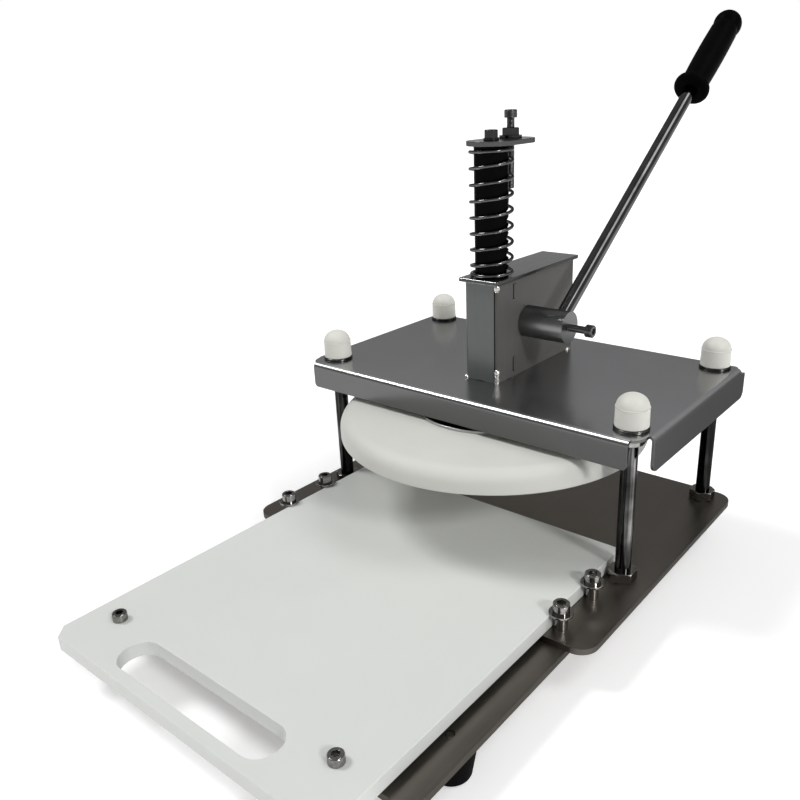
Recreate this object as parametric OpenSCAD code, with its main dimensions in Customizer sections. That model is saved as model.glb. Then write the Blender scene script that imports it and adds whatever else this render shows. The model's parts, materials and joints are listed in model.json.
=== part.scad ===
// Hand lever flatbread press
// A pinion on the lever shaft drives a round rack bar down through a sheet housing.
// The bar carries a plastic disc that presses on a sliding board, and a coil spring lifts it again.
// Millimetres, +Z up. The origin is on the floor, under the middle of the outline.

/* [Press disc] */
// Diameter of the plastic press disc
disc_d = 218; // [206:1:226]
// Thickness of the press disc
disc_t = 16; // [13:0.5:18]
// Open height between the board and the disc at rest
daylight = 55.6; // [48:0.2:58]
// Height left under the disc at the end of the stroke
bread_t = 3.6; // [1.6:0.2:6]
// Diameter of the steel flange on top of the disc
flange_d = 108; // [96:1:116]
// Thickness of the steel flange
flange_t = 2; // [1.5:0.5:3]

/* [Board] */
// How far the board stands out beside the disc
board_margin = 2; // [1:0.5:8]
// Length of the board, front to rear
board_len = 269.5; // [255:0.5:280]
// Thickness of the board
board_t = 9; // [8:0.5:12]
// Distance from the press axis forward to the front edge of the board
board_front = 284.7; // [278:0.1:292]
// Length of the handle slot
slot_len = 124.5; // [100:0.5:136]
// Width of the handle slot
slot_w = 24; // [18:0.5:26]
// Plastic left in front of the handle slot
slot_rim = 6.8; // [6:0.1:9]
// Chamfer on the front corners of the board
board_chamfer = 7.5; // [4:0.5:12]
// Distance between the two stop screws of the board
stop_screw_span = 178; // [150:1:190]
// How far the board still pulls out from the rest place
board_pull_out = 30; // [10:1:32]

/* [Base] */
// Depth of the base plate, front to rear
base_d = 225; // [222:1:236]
// Distance from the press axis forward to the front edge of the base plate
base_front = 111; // [109:1:116]
// Thickness of the base plate and of the support plate
plate_t = 4; // [3:0.5:5]
// Corner radius of the plates
plate_corner_r = 12; // [8:1:14]
// Width of the support plate under the base plate
support_w = 252; // [250:1:258]
// Distance from the press axis forward to the front edge of the support plate
support_front = 246; // [240:0.5:250]
// Depth of the support plate, front to rear
support_d = 355.3; // [352:0.1:358]
// Height of the rubber feet
foot_h = 20; // [17:0.5:26]
// Largest radius of a foot, at its top
foot_top_r = 13.8; // [12:0.1:14]
// Radius of a foot at the floor
foot_bottom_r = 11; // [9.5:0.5:12]
// Distance of a foot from the middle plane
foot_x = 111.4; // [104:0.2:112]
// Distance from the press axis forward to the front feet
foot_front = 198.9; // [185:0.1:215]
// Distance from the press axis back to the rear feet
foot_rear = 70; // [50:0.5:74]

/* [Posts and top plate] */
// Diameter of the four posts
post_d = 10; // [9:0.5:11]
// Distance between the front and rear posts
post_span_y = 132; // [130:1:133]
// Distance from the press axis forward to the front posts
post_front = 31.7; // [31:0.1:33]
// Sheet thickness of the top plate and the housing
sheet_t = 2; // [1.5:0.1:2.4]
// Outer bend radius of the folded sheet
bend_r = 3.5; // [3:0.5:4]
// Height of the front and rear folds of the top plate
fold_h = 18.5; // [15:0.5:20]
// Height of the side folds of the top plate
side_fold_h = 23.4; // [18:0.2:26]
// Height of the round nut caps
cap_h = 20.2; // [19:0.1:24]

/* [Housing and drive] */
// Diameter of the rack bar
bar_d = 22.5; // [21:0.5:23.5]
// Tooth module of rack and pinion
gear_module = 1.75; // [1.65:0.05:1.8]
// Number of pinion teeth
pinion_teeth = 22; // [21:1:23]
// Distance from the bar axis to the pinion axis
pinion_dist = 22.6; // [22.4:0.1:22.8]
// Height of the pinion axis above the top plate
pinion_h = 36.5; // [36:0.5:38]
// Height of the housing walls
housing_h = 68.7; // [68:0.1:74]
// Depth of the housing, front to rear
housing_d = 100; // [92:1:104]
// Diameter of the pinion shaft
shaft_d = 16; // [14:0.5:17]
// Diameter of the lever hub
hub_d = 22; // [21:0.5:24]
// Distance from the middle plane to the outer end of the hub
hub_end = 47.6; // [46:0.1:50]

/* [Lever] */
// Lean of the lever behind the vertical at rest, in degrees
lever_lean = 54; // [46:1:60]
// Distance of the lever from the middle plane
lever_x = 38; // [36:0.5:39]
// Diameter of the lever rod
lever_d = 10; // [9:0.5:11]
// Length of the lever from the hub axis to the grip tip
lever_len = 342; // [310:1:370]
// Diameter of the grip
grip_d = 22.3; // [19:0.1:24]
// Length of the grip, guard included
grip_len = 96; // [86:1:112]

/* [Return spring] */
// Length of the spring at rest
spring_len = 83.6; // [81:0.2:90]
// Diameter of the spring wire
wire_d = 2.2; // [1.8:0.1:2.4]
// Outer diameter of the spring
spring_d = 29.6; // [29:0.1:31]
// Number of turns, end turns included
spring_turns = 8.9; // [8:0.1:10]

/* [Hidden] */
$fn = 64;

// Gaps: running fits, sliding faces, snug seats and loose bolt holes
run_gap = 0.06;
slide_gap = 0.3;
seat_gap = 0.02;
hole_gap = 0.2;
// How far a cutting shape reaches past the face that it cuts
cut = 1;
// Number of straight steps in a rounded profile corner
arc_steps = 8;

// Small socket screws: board stops, cap, depth stop, feet and lever clamp
small_screw = [5, 8.5, 5, 4];
// Guide screws beside the board
guide_screw = [6, 10, 6, 5];
screw_chamfer = 0.5;
socket_depth = 2.6;

// Post nuts scale with the post
post_r = post_d / 2;
nut_af = 1.6 * post_d;
nut_h = 0.7 * post_d;
nut_corner_r = nut_af / 2 / cos(30);

// Plan of the frame, measured from the press axis, +Y to the rear
board_w = disc_d + 2 * board_margin;
post_x = board_w / 2 + nut_corner_r + 0.66;
post_ys = [-post_front, post_span_y - post_front];
base_w = 2 * (post_x + 19);
base_rear = base_d - base_front;
support_rear = support_d - support_front;
support_notch_r = nut_corner_r + 1.8;
foot_ys = [-foot_front, foot_rear];
sleeve_r = 4;
sleeve_gap = 0.4;
guide_x = board_w / 2 + sleeve_gap + sleeve_r;
guide_ys = [-base_front + 12.4, -base_front + 49.6];
top_w = 2 * (post_x + 17);
top_front = post_front + 19.6;
top_rear = post_ys[1] + nut_corner_r + 1 + sheet_t;
// The front fold and the side folds stop short of the open corners, and the side folds pass the rear
front_relief = 9.8;
side_relief = 11.3;
side_over = 2;
top_corner_r = 9;

// Heights above the top of the base plate
disc_z = slide_gap + board_t + daylight;
flange_z = disc_z + disc_t;
bar_z = flange_z + flange_t;
// Gap between the flange and the front fold at rest
flange_clear = 1.6;
bush_below = flange_clear + fold_h - sheet_t - slide_gap;
top_under = bar_z + slide_gap + bush_below;
top_z = top_under + sheet_t;
pinion_z = top_z + pinion_h;
lid_t = 2.5;
lid_z = top_z + housing_h;
lid_top = lid_z + lid_t;
cap_plate_t = 3;
cap_plate_z = lid_top + spring_len;
stroke = daylight - bread_t;

// Housing: a folded sheet on three sides and a flat side plate on the right
bar_r = bar_d / 2;
housing_in = bar_d + 0.8;
housing_w = housing_in + 2 * sheet_t;
housing_front = bar_r + 0.4 + sheet_t;
housing_rear = housing_d - housing_front;
lid_w = housing_w + 4.4;
lid_front = housing_front + 3.3;
lid_rear = housing_rear + 4;
bush_flange_t = 1.2;
bush_r = shaft_d / 2 + 2;
bush_flange_r = bush_r + 2;

// Rack and pinion, cut with the same straight sided tooth form
pressure_angle = 20;
backlash = 0.5;
pitch = PI * gear_module;
pitch_r = gear_module * pinion_teeth / 2;
addendum = gear_module;
dedendum = 1.25 * gear_module;
rack_pitch_y = pinion_dist - pitch_r;
rack_tip_y = rack_pitch_y + addendum;
tooth_half = (pitch - backlash) / 4;
gap_half = (pitch + backlash) / 4;
pinion_w = housing_in - 2 * bush_flange_t - 0.8;
lever_swing = stroke / pitch_r * 180 / PI;

// Keepers behind the rack bar, above and below the pinion
keeper_t = 3;
keeper_y = rack_tip_y + slide_gap;
keeper_h = 12;
keeper_tab = keeper_h - 2;
keeper_low_z = top_z + 3;
keeper_high_z = lid_z - keeper_h - 2;
teeth_low_z = top_z + 2;
teeth_high_z = keeper_high_z + keeper_h + stroke + 1;

// Lever shaft, from the clip on the left to the hub on the right
hub_start = housing_w / 2 + 0.4;
hub_r = hub_d / 2;
shaft_left = -housing_w / 2 - 3.6;
clip_x = -housing_w / 2 - 1.5;
clip_t = 1;
clip_groove_r = shaft_d / 2 - 0.6;
clip_r = shaft_d / 2 + 3;
key_w = 5;
key_low = shaft_d / 2 - 3;
key_high = shaft_d / 2 + 2;
lever_seat = 7;
lever_tip = 10;
clamp_out = 13;

// Cap plate with the depth stop behind the bar
cap_plate_r = 16;
stop_y = 22.3;
stop_above_lid = stroke + 2.6;
stop_nut_h = 6.5;
stop_nut_af = 9.5;
stop_nut_flange_r = 7.4;
stop_nut_flange_t = 1.8;
stop_neck = 6;
cap_washer_r = 5;
cap_washer_t = 1.4;

// The outline runs from the front of the board to the end of the grip, and the origin is midway
grip_end_r = grip_d / 2 + 0.2;
grip_reach = pinion_dist + (lever_len - grip_end_r) * sin(lever_lean) + grip_end_r;
press_y = (board_front - grip_reach) / 2;
base_top = foot_h + 2 * plate_t;

// Points of a rounded corner, from angle a0 to a1 about a centre
function arc(cx, cy, r, a0, a1) =
  [for (i = [0:arc_steps]) let (a = a0 + (a1 - a0) * i / arc_steps) [cx + r * cos(a), cy + r * sin(a)]];

// Puts children on the press axis, at a height above the base plate
module at_press(x = 0, y = 0, z = 0) {
  translate([x, press_y + y, base_top + z])
    children();
}

// Copies children to both sides and to each depth in the list
module four_places(x, ys, z) {
  for (side = [-1, 1], y = ys)
    at_press(side * x, y, z)
      children();
}

// Turns children made along +Z to lie along +X
module along_x() {
  rotate([90, 0, 90])
    children();
}

module rounded_rect(w, front, rear, r) {
  translate([-w / 2 + r, -front])
    square([w - 2 * r, front + rear]);
  translate([-w / 2, -front + r])
    square([w, front + rear - 2 * r]);
  for (x = [-w / 2 + r, w / 2 - r], y = [-front + r, rear - r])
    translate([x, y])
      circle(r);
}

// Straight slot with round ends, along X
module slot_shape(len, w) {
  square([len - w, w], center = true);
  for (side = [-1, 1])
    translate([side * (len - w) / 2, 0])
      circle(w / 2);
}

module ring(outer_r, inner_r, h) {
  rotate_extrude()
    translate([inner_r, 0])
      square([outer_r - inner_r, h]);
}

// Hexagon nut with its top and bottom corners turned off
module hex_nut(af, h, bore_r) {
  corner_r = af / 2 / cos(30);
  bevel = (corner_r - af / 2) * 0.6;
  difference() {
    intersection() {
      rotate(30)
        cylinder(r = corner_r, h = h, $fn = 6);
      rotate_extrude()
        polygon([[0, 0], [af / 2, 0], [corner_r, bevel], [corner_r, h - bevel], [af / 2, h], [0, h]]);
    }
    translate([0, 0, -cut])
      cylinder(r = bore_r, h = h + 2 * cut);
  }
}

// Socket head screw, head above z = 0, shank below
module socket_screw(size, shank) {
  d = size[0];
  head_r = size[1] / 2;
  head_h = size[2];
  difference() {
    rotate_extrude()
      polygon([
        [0, -shank], [d / 2 - screw_chamfer, -shank], [d / 2, -shank + screw_chamfer], [d / 2, 0],
        [head_r, 0], [head_r, head_h - screw_chamfer], [head_r - screw_chamfer, head_h], [0, head_h]
      ]);
    translate([0, 0, head_h - socket_depth])
      cylinder(d = size[3] / cos(30), h = socket_depth + cut, $fn = 6);
  }
}

// Base

foot_recess_h = small_screw[2] + 4;

module rubber_feet() {
  recess_r = small_screw[1] / 2 + 1;
  bore_r = small_screw[0] / 2 + seat_gap;
  edge_r = 2;
  color("#1b1b1c")
    for (side = [-1, 1], y = foot_ys)
      translate([side * foot_x, press_y + y, 0])
        rotate_extrude()
          polygon(concat(
            [[bore_r, foot_h], [bore_r, foot_recess_h], [recess_r, foot_recess_h], [recess_r, 0]],
            arc(foot_bottom_r - edge_r, edge_r, edge_r, -90, 0),
            [[foot_top_r, foot_h]]
          ));
}

module foot_screws() {
  shank = foot_h - foot_recess_h + plate_t - hole_gap;
  color("#9a9c9f")
    for (side = [-1, 1], y = foot_ys)
      translate([side * foot_x, press_y + y, foot_recess_h])
        rotate([180, 0, 0])
          socket_screw(small_screw, shank);
}

module support_plate() {
  color("#8d8780")
    difference() {
      at_press(0, 0, -2 * plate_t)
        linear_extrude(plate_t)
          rounded_rect(support_w, support_front, support_rear, plate_corner_r);
      four_places(post_x, post_ys, -2 * plate_t - cut)
        cylinder(r = support_notch_r, h = plate_t + 2 * cut);
      four_places(guide_x, guide_ys, -2 * plate_t - cut)
        cylinder(d = guide_screw[0] + 2 * hole_gap, h = plate_t + 2 * cut);
      four_places(foot_x, foot_ys, -2 * plate_t - cut)
        cylinder(d = small_screw[0] + 2 * seat_gap, h = plate_t + 2 * cut);
    }
}

module base_plate() {
  color("#98928b")
    difference() {
      at_press(0, 0, -plate_t)
        linear_extrude(plate_t)
          rounded_rect(base_w, base_front, base_rear, plate_corner_r);
      four_places(post_x, post_ys, -plate_t - cut)
        cylinder(r = post_r + hole_gap, h = plate_t + 2 * cut);
      four_places(guide_x, guide_ys, -plate_t - cut)
        cylinder(d = guide_screw[0] + 2 * hole_gap, h = plate_t + 2 * cut);
    }
}

// Posts, their nuts and caps

cap_washer_post_t = 1.9;
post_bottom = -plate_t - nut_h - 2;
post_top = top_z + cap_washer_post_t + nut_h + 2;
cap_r = nut_corner_r + 1.1;

module corner_posts() {
  tip = 0.8;
  len = post_top - post_bottom;
  color("#c9ccd0")
    four_places(post_x, post_ys, post_bottom)
      rotate_extrude()
        polygon([
          [0, 0], [post_r - tip, 0], [post_r, tip],
          [post_r, len - tip], [post_r - tip, len], [0, len]
        ]);
}

module post_nuts(z) {
  color("#b5b7ba")
    four_places(post_x, post_ys, z)
      hex_nut(nut_af, nut_h, post_r + seat_gap);
}

module base_nuts() {
  post_nuts(0);
}

module under_base_nuts() {
  post_nuts(-plate_t - nut_h);
}

module under_top_nuts() {
  post_nuts(top_under - nut_h);
}

module post_top_nuts() {
  post_nuts(top_z + cap_washer_post_t);
}

module cap_washers() {
  color("#77797d")
    four_places(post_x, post_ys, top_z)
      ring(cap_r + 0.4, post_r + hole_gap, cap_washer_post_t);
}

// Domed plastic caps, tapering a little up to a faint seam below the dome
module nut_caps() {
  seam_r = cap_r - 0.3;
  bore_r = nut_corner_r + 0.1;
  bore_h = nut_h + 2.4;
  seam_z = cap_h * 0.6;
  color("#f1efe8")
    four_places(post_x, post_ys, top_z + cap_washer_post_t)
      difference() {
        union() {
          rotate_extrude()
            polygon([[0, 0], [cap_r, 0], [seam_r, seam_z], [0, seam_z]]);
          translate([0, 0, seam_z])
            rotate_extrude()
              polygon(concat([[0, 0]], [for (i = [0:arc_steps]) let (a = 90 * i / arc_steps)
                [(seam_r - 0.1) * cos(a), (cap_h - seam_z) * sin(a)]]));
        }
        translate([0, 0, -cut])
          cylinder(r = bore_r, h = bore_h + cut);
      }
}

// Top plate: a flat sheet with four folded edges and open corners

// Outer fold of the sheet along Y, its outer face at x = 0, its top at z = 0
module fold(len, height) {
  difference() {
    translate([-bend_r, 0, -bend_r])
      rotate([-90, 0, 0])
        cylinder(r = bend_r, h = len);
    translate([-bend_r, -cut, -bend_r])
      rotate([-90, 0, 0])
        cylinder(r = bend_r - sheet_t, h = len + 2 * cut);
    translate([-2 * bend_r - cut, -cut, -2 * bend_r - cut])
      cube([bend_r + cut, len + 2 * cut, 2 * bend_r + 2 * cut]);
    translate([-2 * bend_r - cut, -cut, -2 * bend_r - cut])
      cube([2 * bend_r + 2 * cut, len + 2 * cut, bend_r + cut]);
  }
  translate([-sheet_t, 0, -height])
    fold_wall(len, height - bend_r);
}

// Folded wall with its two lower corners rounded
module fold_wall(len, height) {
  r = 4;
  rotate([90, 0, 90])
    linear_extrude(sheet_t) {
      translate([0, r])
        square([len, height - r]);
      translate([r, 0])
        square([len - 2 * r, height]);
      for (y = [r, len - r])
        translate([y, r])
          circle(r);
    }
}

module top_plate() {
  depth = top_front + top_rear;
  side_len = depth + side_over - side_relief;
  front_len = top_w - 2 * front_relief;
  color("#a9abad")
    difference() {
      union() {
        difference() {
          at_press(0, 0, top_under)
            linear_extrude(sheet_t)
              rounded_rect(top_w - 1, top_front - 0.5, top_rear - 0.5, top_corner_r);
          for (side = [0, 1])
            mirror([side, 0, 0])
              at_press(top_w / 2 - bend_r, side_relief - top_front, top_under - cut)
                cube([bend_r + cut, side_len, sheet_t + 2 * cut]);
          at_press(-front_len / 2, -top_front - cut, top_under - cut)
            cube([front_len, bend_r + cut, sheet_t + 2 * cut]);
          at_press(-front_len / 2, top_rear - bend_r, top_under - cut)
            cube([front_len, bend_r + cut, sheet_t + 2 * cut]);
        }
        for (side = [0, 1])
          mirror([side, 0, 0])
            at_press(top_w / 2, side_relief - top_front, top_z)
              fold(side_len, side_fold_h);
        at_press(front_len / 2, top_rear, top_z)
          rotate(90)
            fold(front_len, fold_h);
        at_press(-front_len / 2, -top_front, top_z)
          rotate(-90)
            fold(front_len, fold_h);
      }
      four_places(post_x, post_ys, top_under - cut)
        cylinder(r = post_r + hole_gap, h = sheet_t + 2 * cut);
      at_press(0, 0, top_under - cut)
        cylinder(r = guide_bush_r + run_gap, h = sheet_t + 2 * cut);
    }
}

// Housing

guide_bush_r = bar_r + 3;

module ram_guide_bush() {
  flange_r = guide_bush_r + 5;
  flange_h = 3;
  color("#b08d57")
    at_press(0, 0, bar_z + slide_gap)
      difference() {
        union() {
          cylinder(r = guide_bush_r, h = bush_below + sheet_t);
          translate([0, 0, bush_below - flange_h])
            cylinder(r = flange_r, h = flange_h);
        }
        translate([0, 0, -cut])
          cylinder(r = bar_r + run_gap, h = bush_below + sheet_t + 2 * cut);
      }
}

// Tab slots for the keepers, through one housing wall, on the right (+1) or left (-1)
module keeper_slots(side) {
  for (z = [keeper_low_z, keeper_high_z])
    at_press(side * (housing_w / 2 - sheet_t / 2), keeper_y + keeper_t / 2, z + keeper_h / 2)
      cube([sheet_t + 2 * cut, keeper_t + 0.5, keeper_tab + 0.5], center = true);
}

module wall_bush_hole(side) {
  at_press(side * (housing_w / 2 - sheet_t / 2), pinion_dist, pinion_z)
    along_x()
      cylinder(r = bush_r + seat_gap, h = sheet_t + 2 * cut, center = true);
}

// Front, left and rear walls folded from one sheet
module gear_housing() {
  t = sheet_t;
  color("#a3a5a7")
    difference() {
      at_press(0, 0, top_z)
        linear_extrude(housing_h)
          difference() {
            housing_outline(housing_w / 2, housing_front, housing_rear, bend_r);
            housing_outline(housing_w / 2 - t, housing_front - t, housing_rear - t, bend_r - t);
            translate([housing_w / 2 - t, -housing_front - cut])
              square([t + cut, housing_d + 2 * cut]);
          }
      keeper_slots(-1);
      wall_bush_hole(-1);
    }
}

// Housing outline with its two left corners rounded
module housing_outline(half_w, front, rear, r) {
  translate([-half_w + r, -front])
    square([2 * half_w - r, front + rear]);
  translate([-half_w, -front + r])
    square([r, front + rear - 2 * r]);
  for (y = [-front + r, rear - r])
    translate([-half_w + r, y])
      circle(r);
}

module housing_side_plate() {
  color("#a3a5a7")
    difference() {
      at_press(housing_w / 2 - sheet_t, -housing_front, top_z)
        cube([sheet_t, housing_d, housing_h]);
      keeper_slots(1);
      wall_bush_hole(1);
    }
}

module housing_lid() {
  color("#adafb1")
    difference() {
      at_press(0, 0, lid_z)
        linear_extrude(lid_t)
          rounded_rect(lid_w, lid_front, lid_rear, 1.5);
      at_press(0, 0, lid_z - cut)
        cylinder(r = bar_r + run_gap, h = lid_t + 2 * cut);
    }
}

// Plates behind the bar whose tabs sit in the housing walls
module rack_keepers() {
  color("#8b8d90")
    for (z = [keeper_low_z, keeper_high_z])
      at_press(0, keeper_y + keeper_t / 2, z + keeper_h / 2) {
        cube([housing_in - 0.1, keeper_t, keeper_h], center = true);
        cube([housing_w, keeper_t, keeper_tab], center = true);
      }
}

module shaft_bushes() {
  color("#b08d57")
    for (side = [0, 1])
      mirror([side, 0, 0])
        at_press(housing_in / 2, pinion_dist, pinion_z)
          along_x()
            difference() {
              union() {
                cylinder(r = bush_r, h = sheet_t);
                translate([0, 0, -bush_flange_t])
                  cylinder(r = bush_flange_r, h = bush_flange_t);
              }
              translate([0, 0, -bush_flange_t - cut])
                cylinder(r = shaft_d / 2 + run_gap, h = sheet_t + bush_flange_t + 2 * cut);
            }
}

// Board guides

sleeve_h = slide_gap + board_t + 0.35;
guide_washer_t = 1.5;
guide_washer_r = 7.3;
guide_nut_af = 10;
guide_nut_h = 5;

module guide_sleeves() {
  color("#c4c6c9")
    four_places(guide_x, guide_ys, 0)
      ring(sleeve_r, guide_screw[0] / 2 + run_gap, sleeve_h);
}

module guide_washers() {
  color("#c4c6c9")
    four_places(guide_x, guide_ys, sleeve_h)
      ring(guide_washer_r, guide_screw[0] / 2 + hole_gap, guide_washer_t);
}

module guide_screws() {
  color("#b9bbbe")
    four_places(guide_x, guide_ys, sleeve_h + guide_washer_t)
      socket_screw(guide_screw, sleeve_h + guide_washer_t + 2 * plate_t + guide_nut_h + 1);
}

module guide_nuts() {
  color("#b5b7ba")
    four_places(guide_x, guide_ys, -2 * plate_t - guide_nut_h)
      hex_nut(guide_nut_af, guide_nut_h, guide_screw[0] / 2 + seat_gap);
}

// Return spring: one wire, right handed, with a flat turn at each end

rings_per_turn = 8;
wire_sides = 6;
flat_turns = 0.75;
flat_pitch = wire_d + 0.55;
spring_start = 170;
spring_r = (spring_d - wire_d) / 2;
spring_rise = spring_len - wire_d - slide_gap;
open_pitch = (spring_rise - 2 * flat_turns * flat_pitch) / (spring_turns - 2 * flat_turns);
spring_rings = round(spring_turns * rings_per_turn);

// Height of the wire after a number of turns
function wire_z(turn) =
  turn < flat_turns ? turn * flat_pitch :
  turn > spring_turns - flat_turns ? spring_rise - (spring_turns - turn) * flat_pitch :
  flat_turns * flat_pitch + (turn - flat_turns) * open_pitch;

function wire_point(i) =
  let (turn = spring_turns * i / spring_rings, a = spring_start + 360 * turn)
  [spring_r * cos(a), spring_r * sin(a), wire_z(turn)];

// Corner j of the wire's cross section at ring i, in the radial plane
function wire_corner(i, j) =
  let (turn = spring_turns * i / spring_rings, a = spring_start + 360 * turn, b = 360 * j / wire_sides)
  let (r = spring_r + wire_d / 2 * cos(b))
  [r * cos(a), r * sin(a), wire_z(turn) + wire_d / 2 * sin(b)];

wire_path = [for (i = [0:spring_rings]) wire_point(i)];
wire_gaps = [for (i = [0:spring_rings], j = [i + rings_per_turn / 2:1:spring_rings])
  norm(wire_path[i] - wire_path[j]) - wire_d];
echo(str("least gap of the spring wire to itself: ", min(wire_gaps), " mm"));

module return_spring() {
  points = [for (i = [0:spring_rings], j = [0:wire_sides - 1]) wire_corner(i, j)];
  last = spring_rings * wire_sides;
  sides = [for (i = [0:spring_rings - 1], j = [0:wire_sides - 1])
    let (a = i * wire_sides + j, b = i * wire_sides + (j + 1) % wire_sides)
    each [[a, a + wire_sides, b], [b, a + wire_sides, b + wire_sides]]];
  start_cap = [for (j = [1:wire_sides - 2]) [0, j, j + 1]];
  end_cap = [for (j = [1:wire_sides - 2]) [last, last + j + 1, last + j]];
  color("#d3d5d8")
    at_press(0, 0, lid_top + wire_d / 2)
      polyhedron(points = points, faces = concat(sides, start_cap, end_cap));
}

// Lever shaft, turning about X through the pinion axis

module at_pinion(x = 0) {
  at_press(x, pinion_dist, pinion_z)
    children();
}

// Puts children made along +Z along the lever, away from the hub
module along_lever() {
  at_pinion(lever_x)
    rotate([-lever_lean, 0, 0])
      children();
}

module pinion_shaft() {
  color("#6f7276")
    difference() {
      union() {
        at_pinion(shaft_left)
          along_x()
            cylinder(d = shaft_d, h = hub_start - shaft_left + cut);
        at_pinion(hub_start)
          along_x()
            cylinder(r = hub_r, h = hub_end - hub_start);
      }
      at_pinion(clip_x)
        along_x()
          ring(shaft_d, clip_groove_r, clip_t + 2 * seat_gap);
      at_pinion()
        translate([-pinion_w / 2, -key_w / 2, key_low])
          cube([pinion_w, key_w, shaft_d]);
      along_lever()
        translate([0, 0, -lever_seat])
          cylinder(r = lever_d / 2 + seat_gap, h = lever_seat + hub_d);
      at_pinion(lever_x)
        along_x()
          cylinder(d = small_screw[0] + 2 * seat_gap, h = hub_end);
    }
}

// Involute tooth flank: half the tooth's angle at radius r, in degrees
function involute(a) = tan(a) * 180 / PI - a;
base_r = pitch_r * cos(pressure_angle);
tip_r = pitch_r + addendum;
root_r = pitch_r - dedendum;
function flank(r) =
  tooth_half / pitch_r * 180 / PI + involute(pressure_angle) - involute(acos(min(1, base_r / r)));

// Outline of one tooth, from its lower root round the tip to its upper root
flank_steps = 5;
flank_radii = [for (i = [0:flank_steps]) base_r + (tip_r - base_r) * i / flank_steps];
function polar(r, a) = [r * cos(a), r * sin(a)];
function tooth(a) = concat(
  [polar(root_r, a - flank(base_r))],
  [for (i = [0:flank_steps]) polar(flank_radii[i], a - flank(flank_radii[i]))],
  [for (i = [flank_steps:-1:0]) polar(flank_radii[i], a + flank(flank_radii[i]))],
  [polar(root_r, a + flank(base_r))]
);

module pinion_gear() {
  color("#7d8084")
    at_pinion(-pinion_w / 2)
      along_x()
        difference() {
          linear_extrude(pinion_w)
            polygon([for (i = [0:pinion_teeth - 1]) each tooth(180 + 360 * i / pinion_teeth)]);
          translate([0, 0, -cut])
            cylinder(r = shaft_d / 2 + seat_gap, h = pinion_w + 2 * cut);
          translate([-key_w / 2, 0, -cut])
            cube([key_w, key_high + seat_gap, pinion_w + 2 * cut]);
        }
}

module pinion_key() {
  color("#8b8d90")
    at_pinion()
      translate([-pinion_w / 2 + 0.5, -key_w / 2 + seat_gap, key_low])
        cube([pinion_w - 1, key_w - 2 * seat_gap, key_high - key_low]);
}

// Spring clip in the shaft's groove, open at the bottom
module shaft_clip() {
  opening = shaft_d * 0.55;
  color("#55585c")
    at_pinion(clip_x + seat_gap)
      along_x()
        difference() {
          ring(clip_r, clip_groove_r + seat_gap, clip_t);
          translate([-opening / 2, -clip_r - cut, -cut])
            cube([opening, clip_r + cut, clip_t + 2 * cut]);
        }
}

module lever_rod() {
  color("#c9ccd0")
    along_lever()
      translate([0, 0, -lever_seat])
        cylinder(d = lever_d, h = lever_seat + lever_len - lever_tip);
}

// Moulded grip: guard, waisted body and rounded end
module lever_grip() {
  start = lever_len - grip_len;
  guard_r = grip_d / 2 + 2.9;
  guard_t = 7;
  edge = 2.5;
  body_r = grip_d / 2;
  end_z = lever_len - grip_end_r;
  bore_r = lever_d / 2 + seat_gap;
  bore_end = lever_len - lever_tip + 0.2;
  color("#1d1d1e")
    along_lever()
      rotate_extrude()
        polygon(concat(
          [[0, bore_end], [bore_r, bore_end], [bore_r, start]],
          arc(guard_r - edge, start + edge, edge, -90, 0),
          arc(guard_r - edge, start + guard_t - edge, edge, 0, 90),
          [[body_r - 0.8, start + guard_t + 2], [body_r, start + grip_len / 2]],
          arc(0, end_z, grip_end_r, -28, 90)
        ));
}

module clamp_screw() {
  tip_x = lever_x + lever_d / 2 + 3 * seat_gap;
  head_x = hub_end + clamp_out;
  color("#b9bbbe")
    at_pinion(head_x)
      along_x()
        socket_screw(small_screw, head_x - tip_x);
}

// Ram: rack bar, flange and disc, with the cap plate on top

bar_bolt = [8, 13, 8, 6];
bar_bolt_in = 20;
cap_screw_in = 15;

module rack_bar() {
  first = ceil((teeth_low_z + pitch - pinion_z) / pitch);
  last = floor((teeth_high_z - pitch - pinion_z) / pitch);
  root_half = gap_half - dedendum * tan(pressure_angle);
  open_half = gap_half + (addendum + cut) * tan(pressure_angle);
  color("#232324")
    difference() {
      at_press(0, 0, bar_z)
        cylinder(d = bar_d, h = cap_plate_z - bar_z);
      at_press(-bar_d, rack_tip_y, teeth_low_z)
        cube([2 * bar_d, bar_d, teeth_high_z - teeth_low_z]);
      for (i = [first:last])
        at_press(-bar_d, rack_pitch_y, pinion_z + i * pitch)
          along_x()
            linear_extrude(2 * bar_d)
              polygon([
                [-dedendum, -root_half], [addendum + cut, -open_half],
                [addendum + cut, open_half], [-dedendum, root_half]
              ]);
      at_press(0, 0, bar_z - cut)
        cylinder(d = bar_bolt[0] + 2 * seat_gap, h = bar_bolt_in + 1 + cut);
      at_press(0, 0, cap_plate_z - cap_screw_in - 1)
        cylinder(d = small_screw[0] + 2 * seat_gap, h = cap_screw_in + 1 + cut);
    }
}

module bar_bolt() {
  color("#9a9c9f")
    at_press(0, 0, flange_z)
      rotate([180, 0, 0])
        socket_screw(bar_bolt, flange_t + bar_bolt_in);
}

flange_screw_r = flange_d / 2 - 14;
flange_screw_angles = [75, 165, 255, 345];
flange_screw_d = 5;
flange_screw_in = 10;

module at_flange_screws(z) {
  for (a = flange_screw_angles)
    at_press(flange_screw_r * cos(a), flange_screw_r * sin(a), z)
      children();
}

module press_flange() {
  bevel = 0.6;
  color("#2a2a2b")
    difference() {
      at_press(0, 0, flange_z)
        rotate_extrude()
          polygon([
            [bar_bolt[0] / 2 + seat_gap, 0], [flange_d / 2, 0], [flange_d / 2, flange_t - bevel],
            [flange_d / 2 - bevel, flange_t], [bar_bolt[0] / 2 + seat_gap, flange_t]
          ]);
      at_flange_screws(flange_z - cut)
        cylinder(d = flange_screw_d + 2 * hole_gap, h = flange_t + 2 * cut);
    }
}

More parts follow.
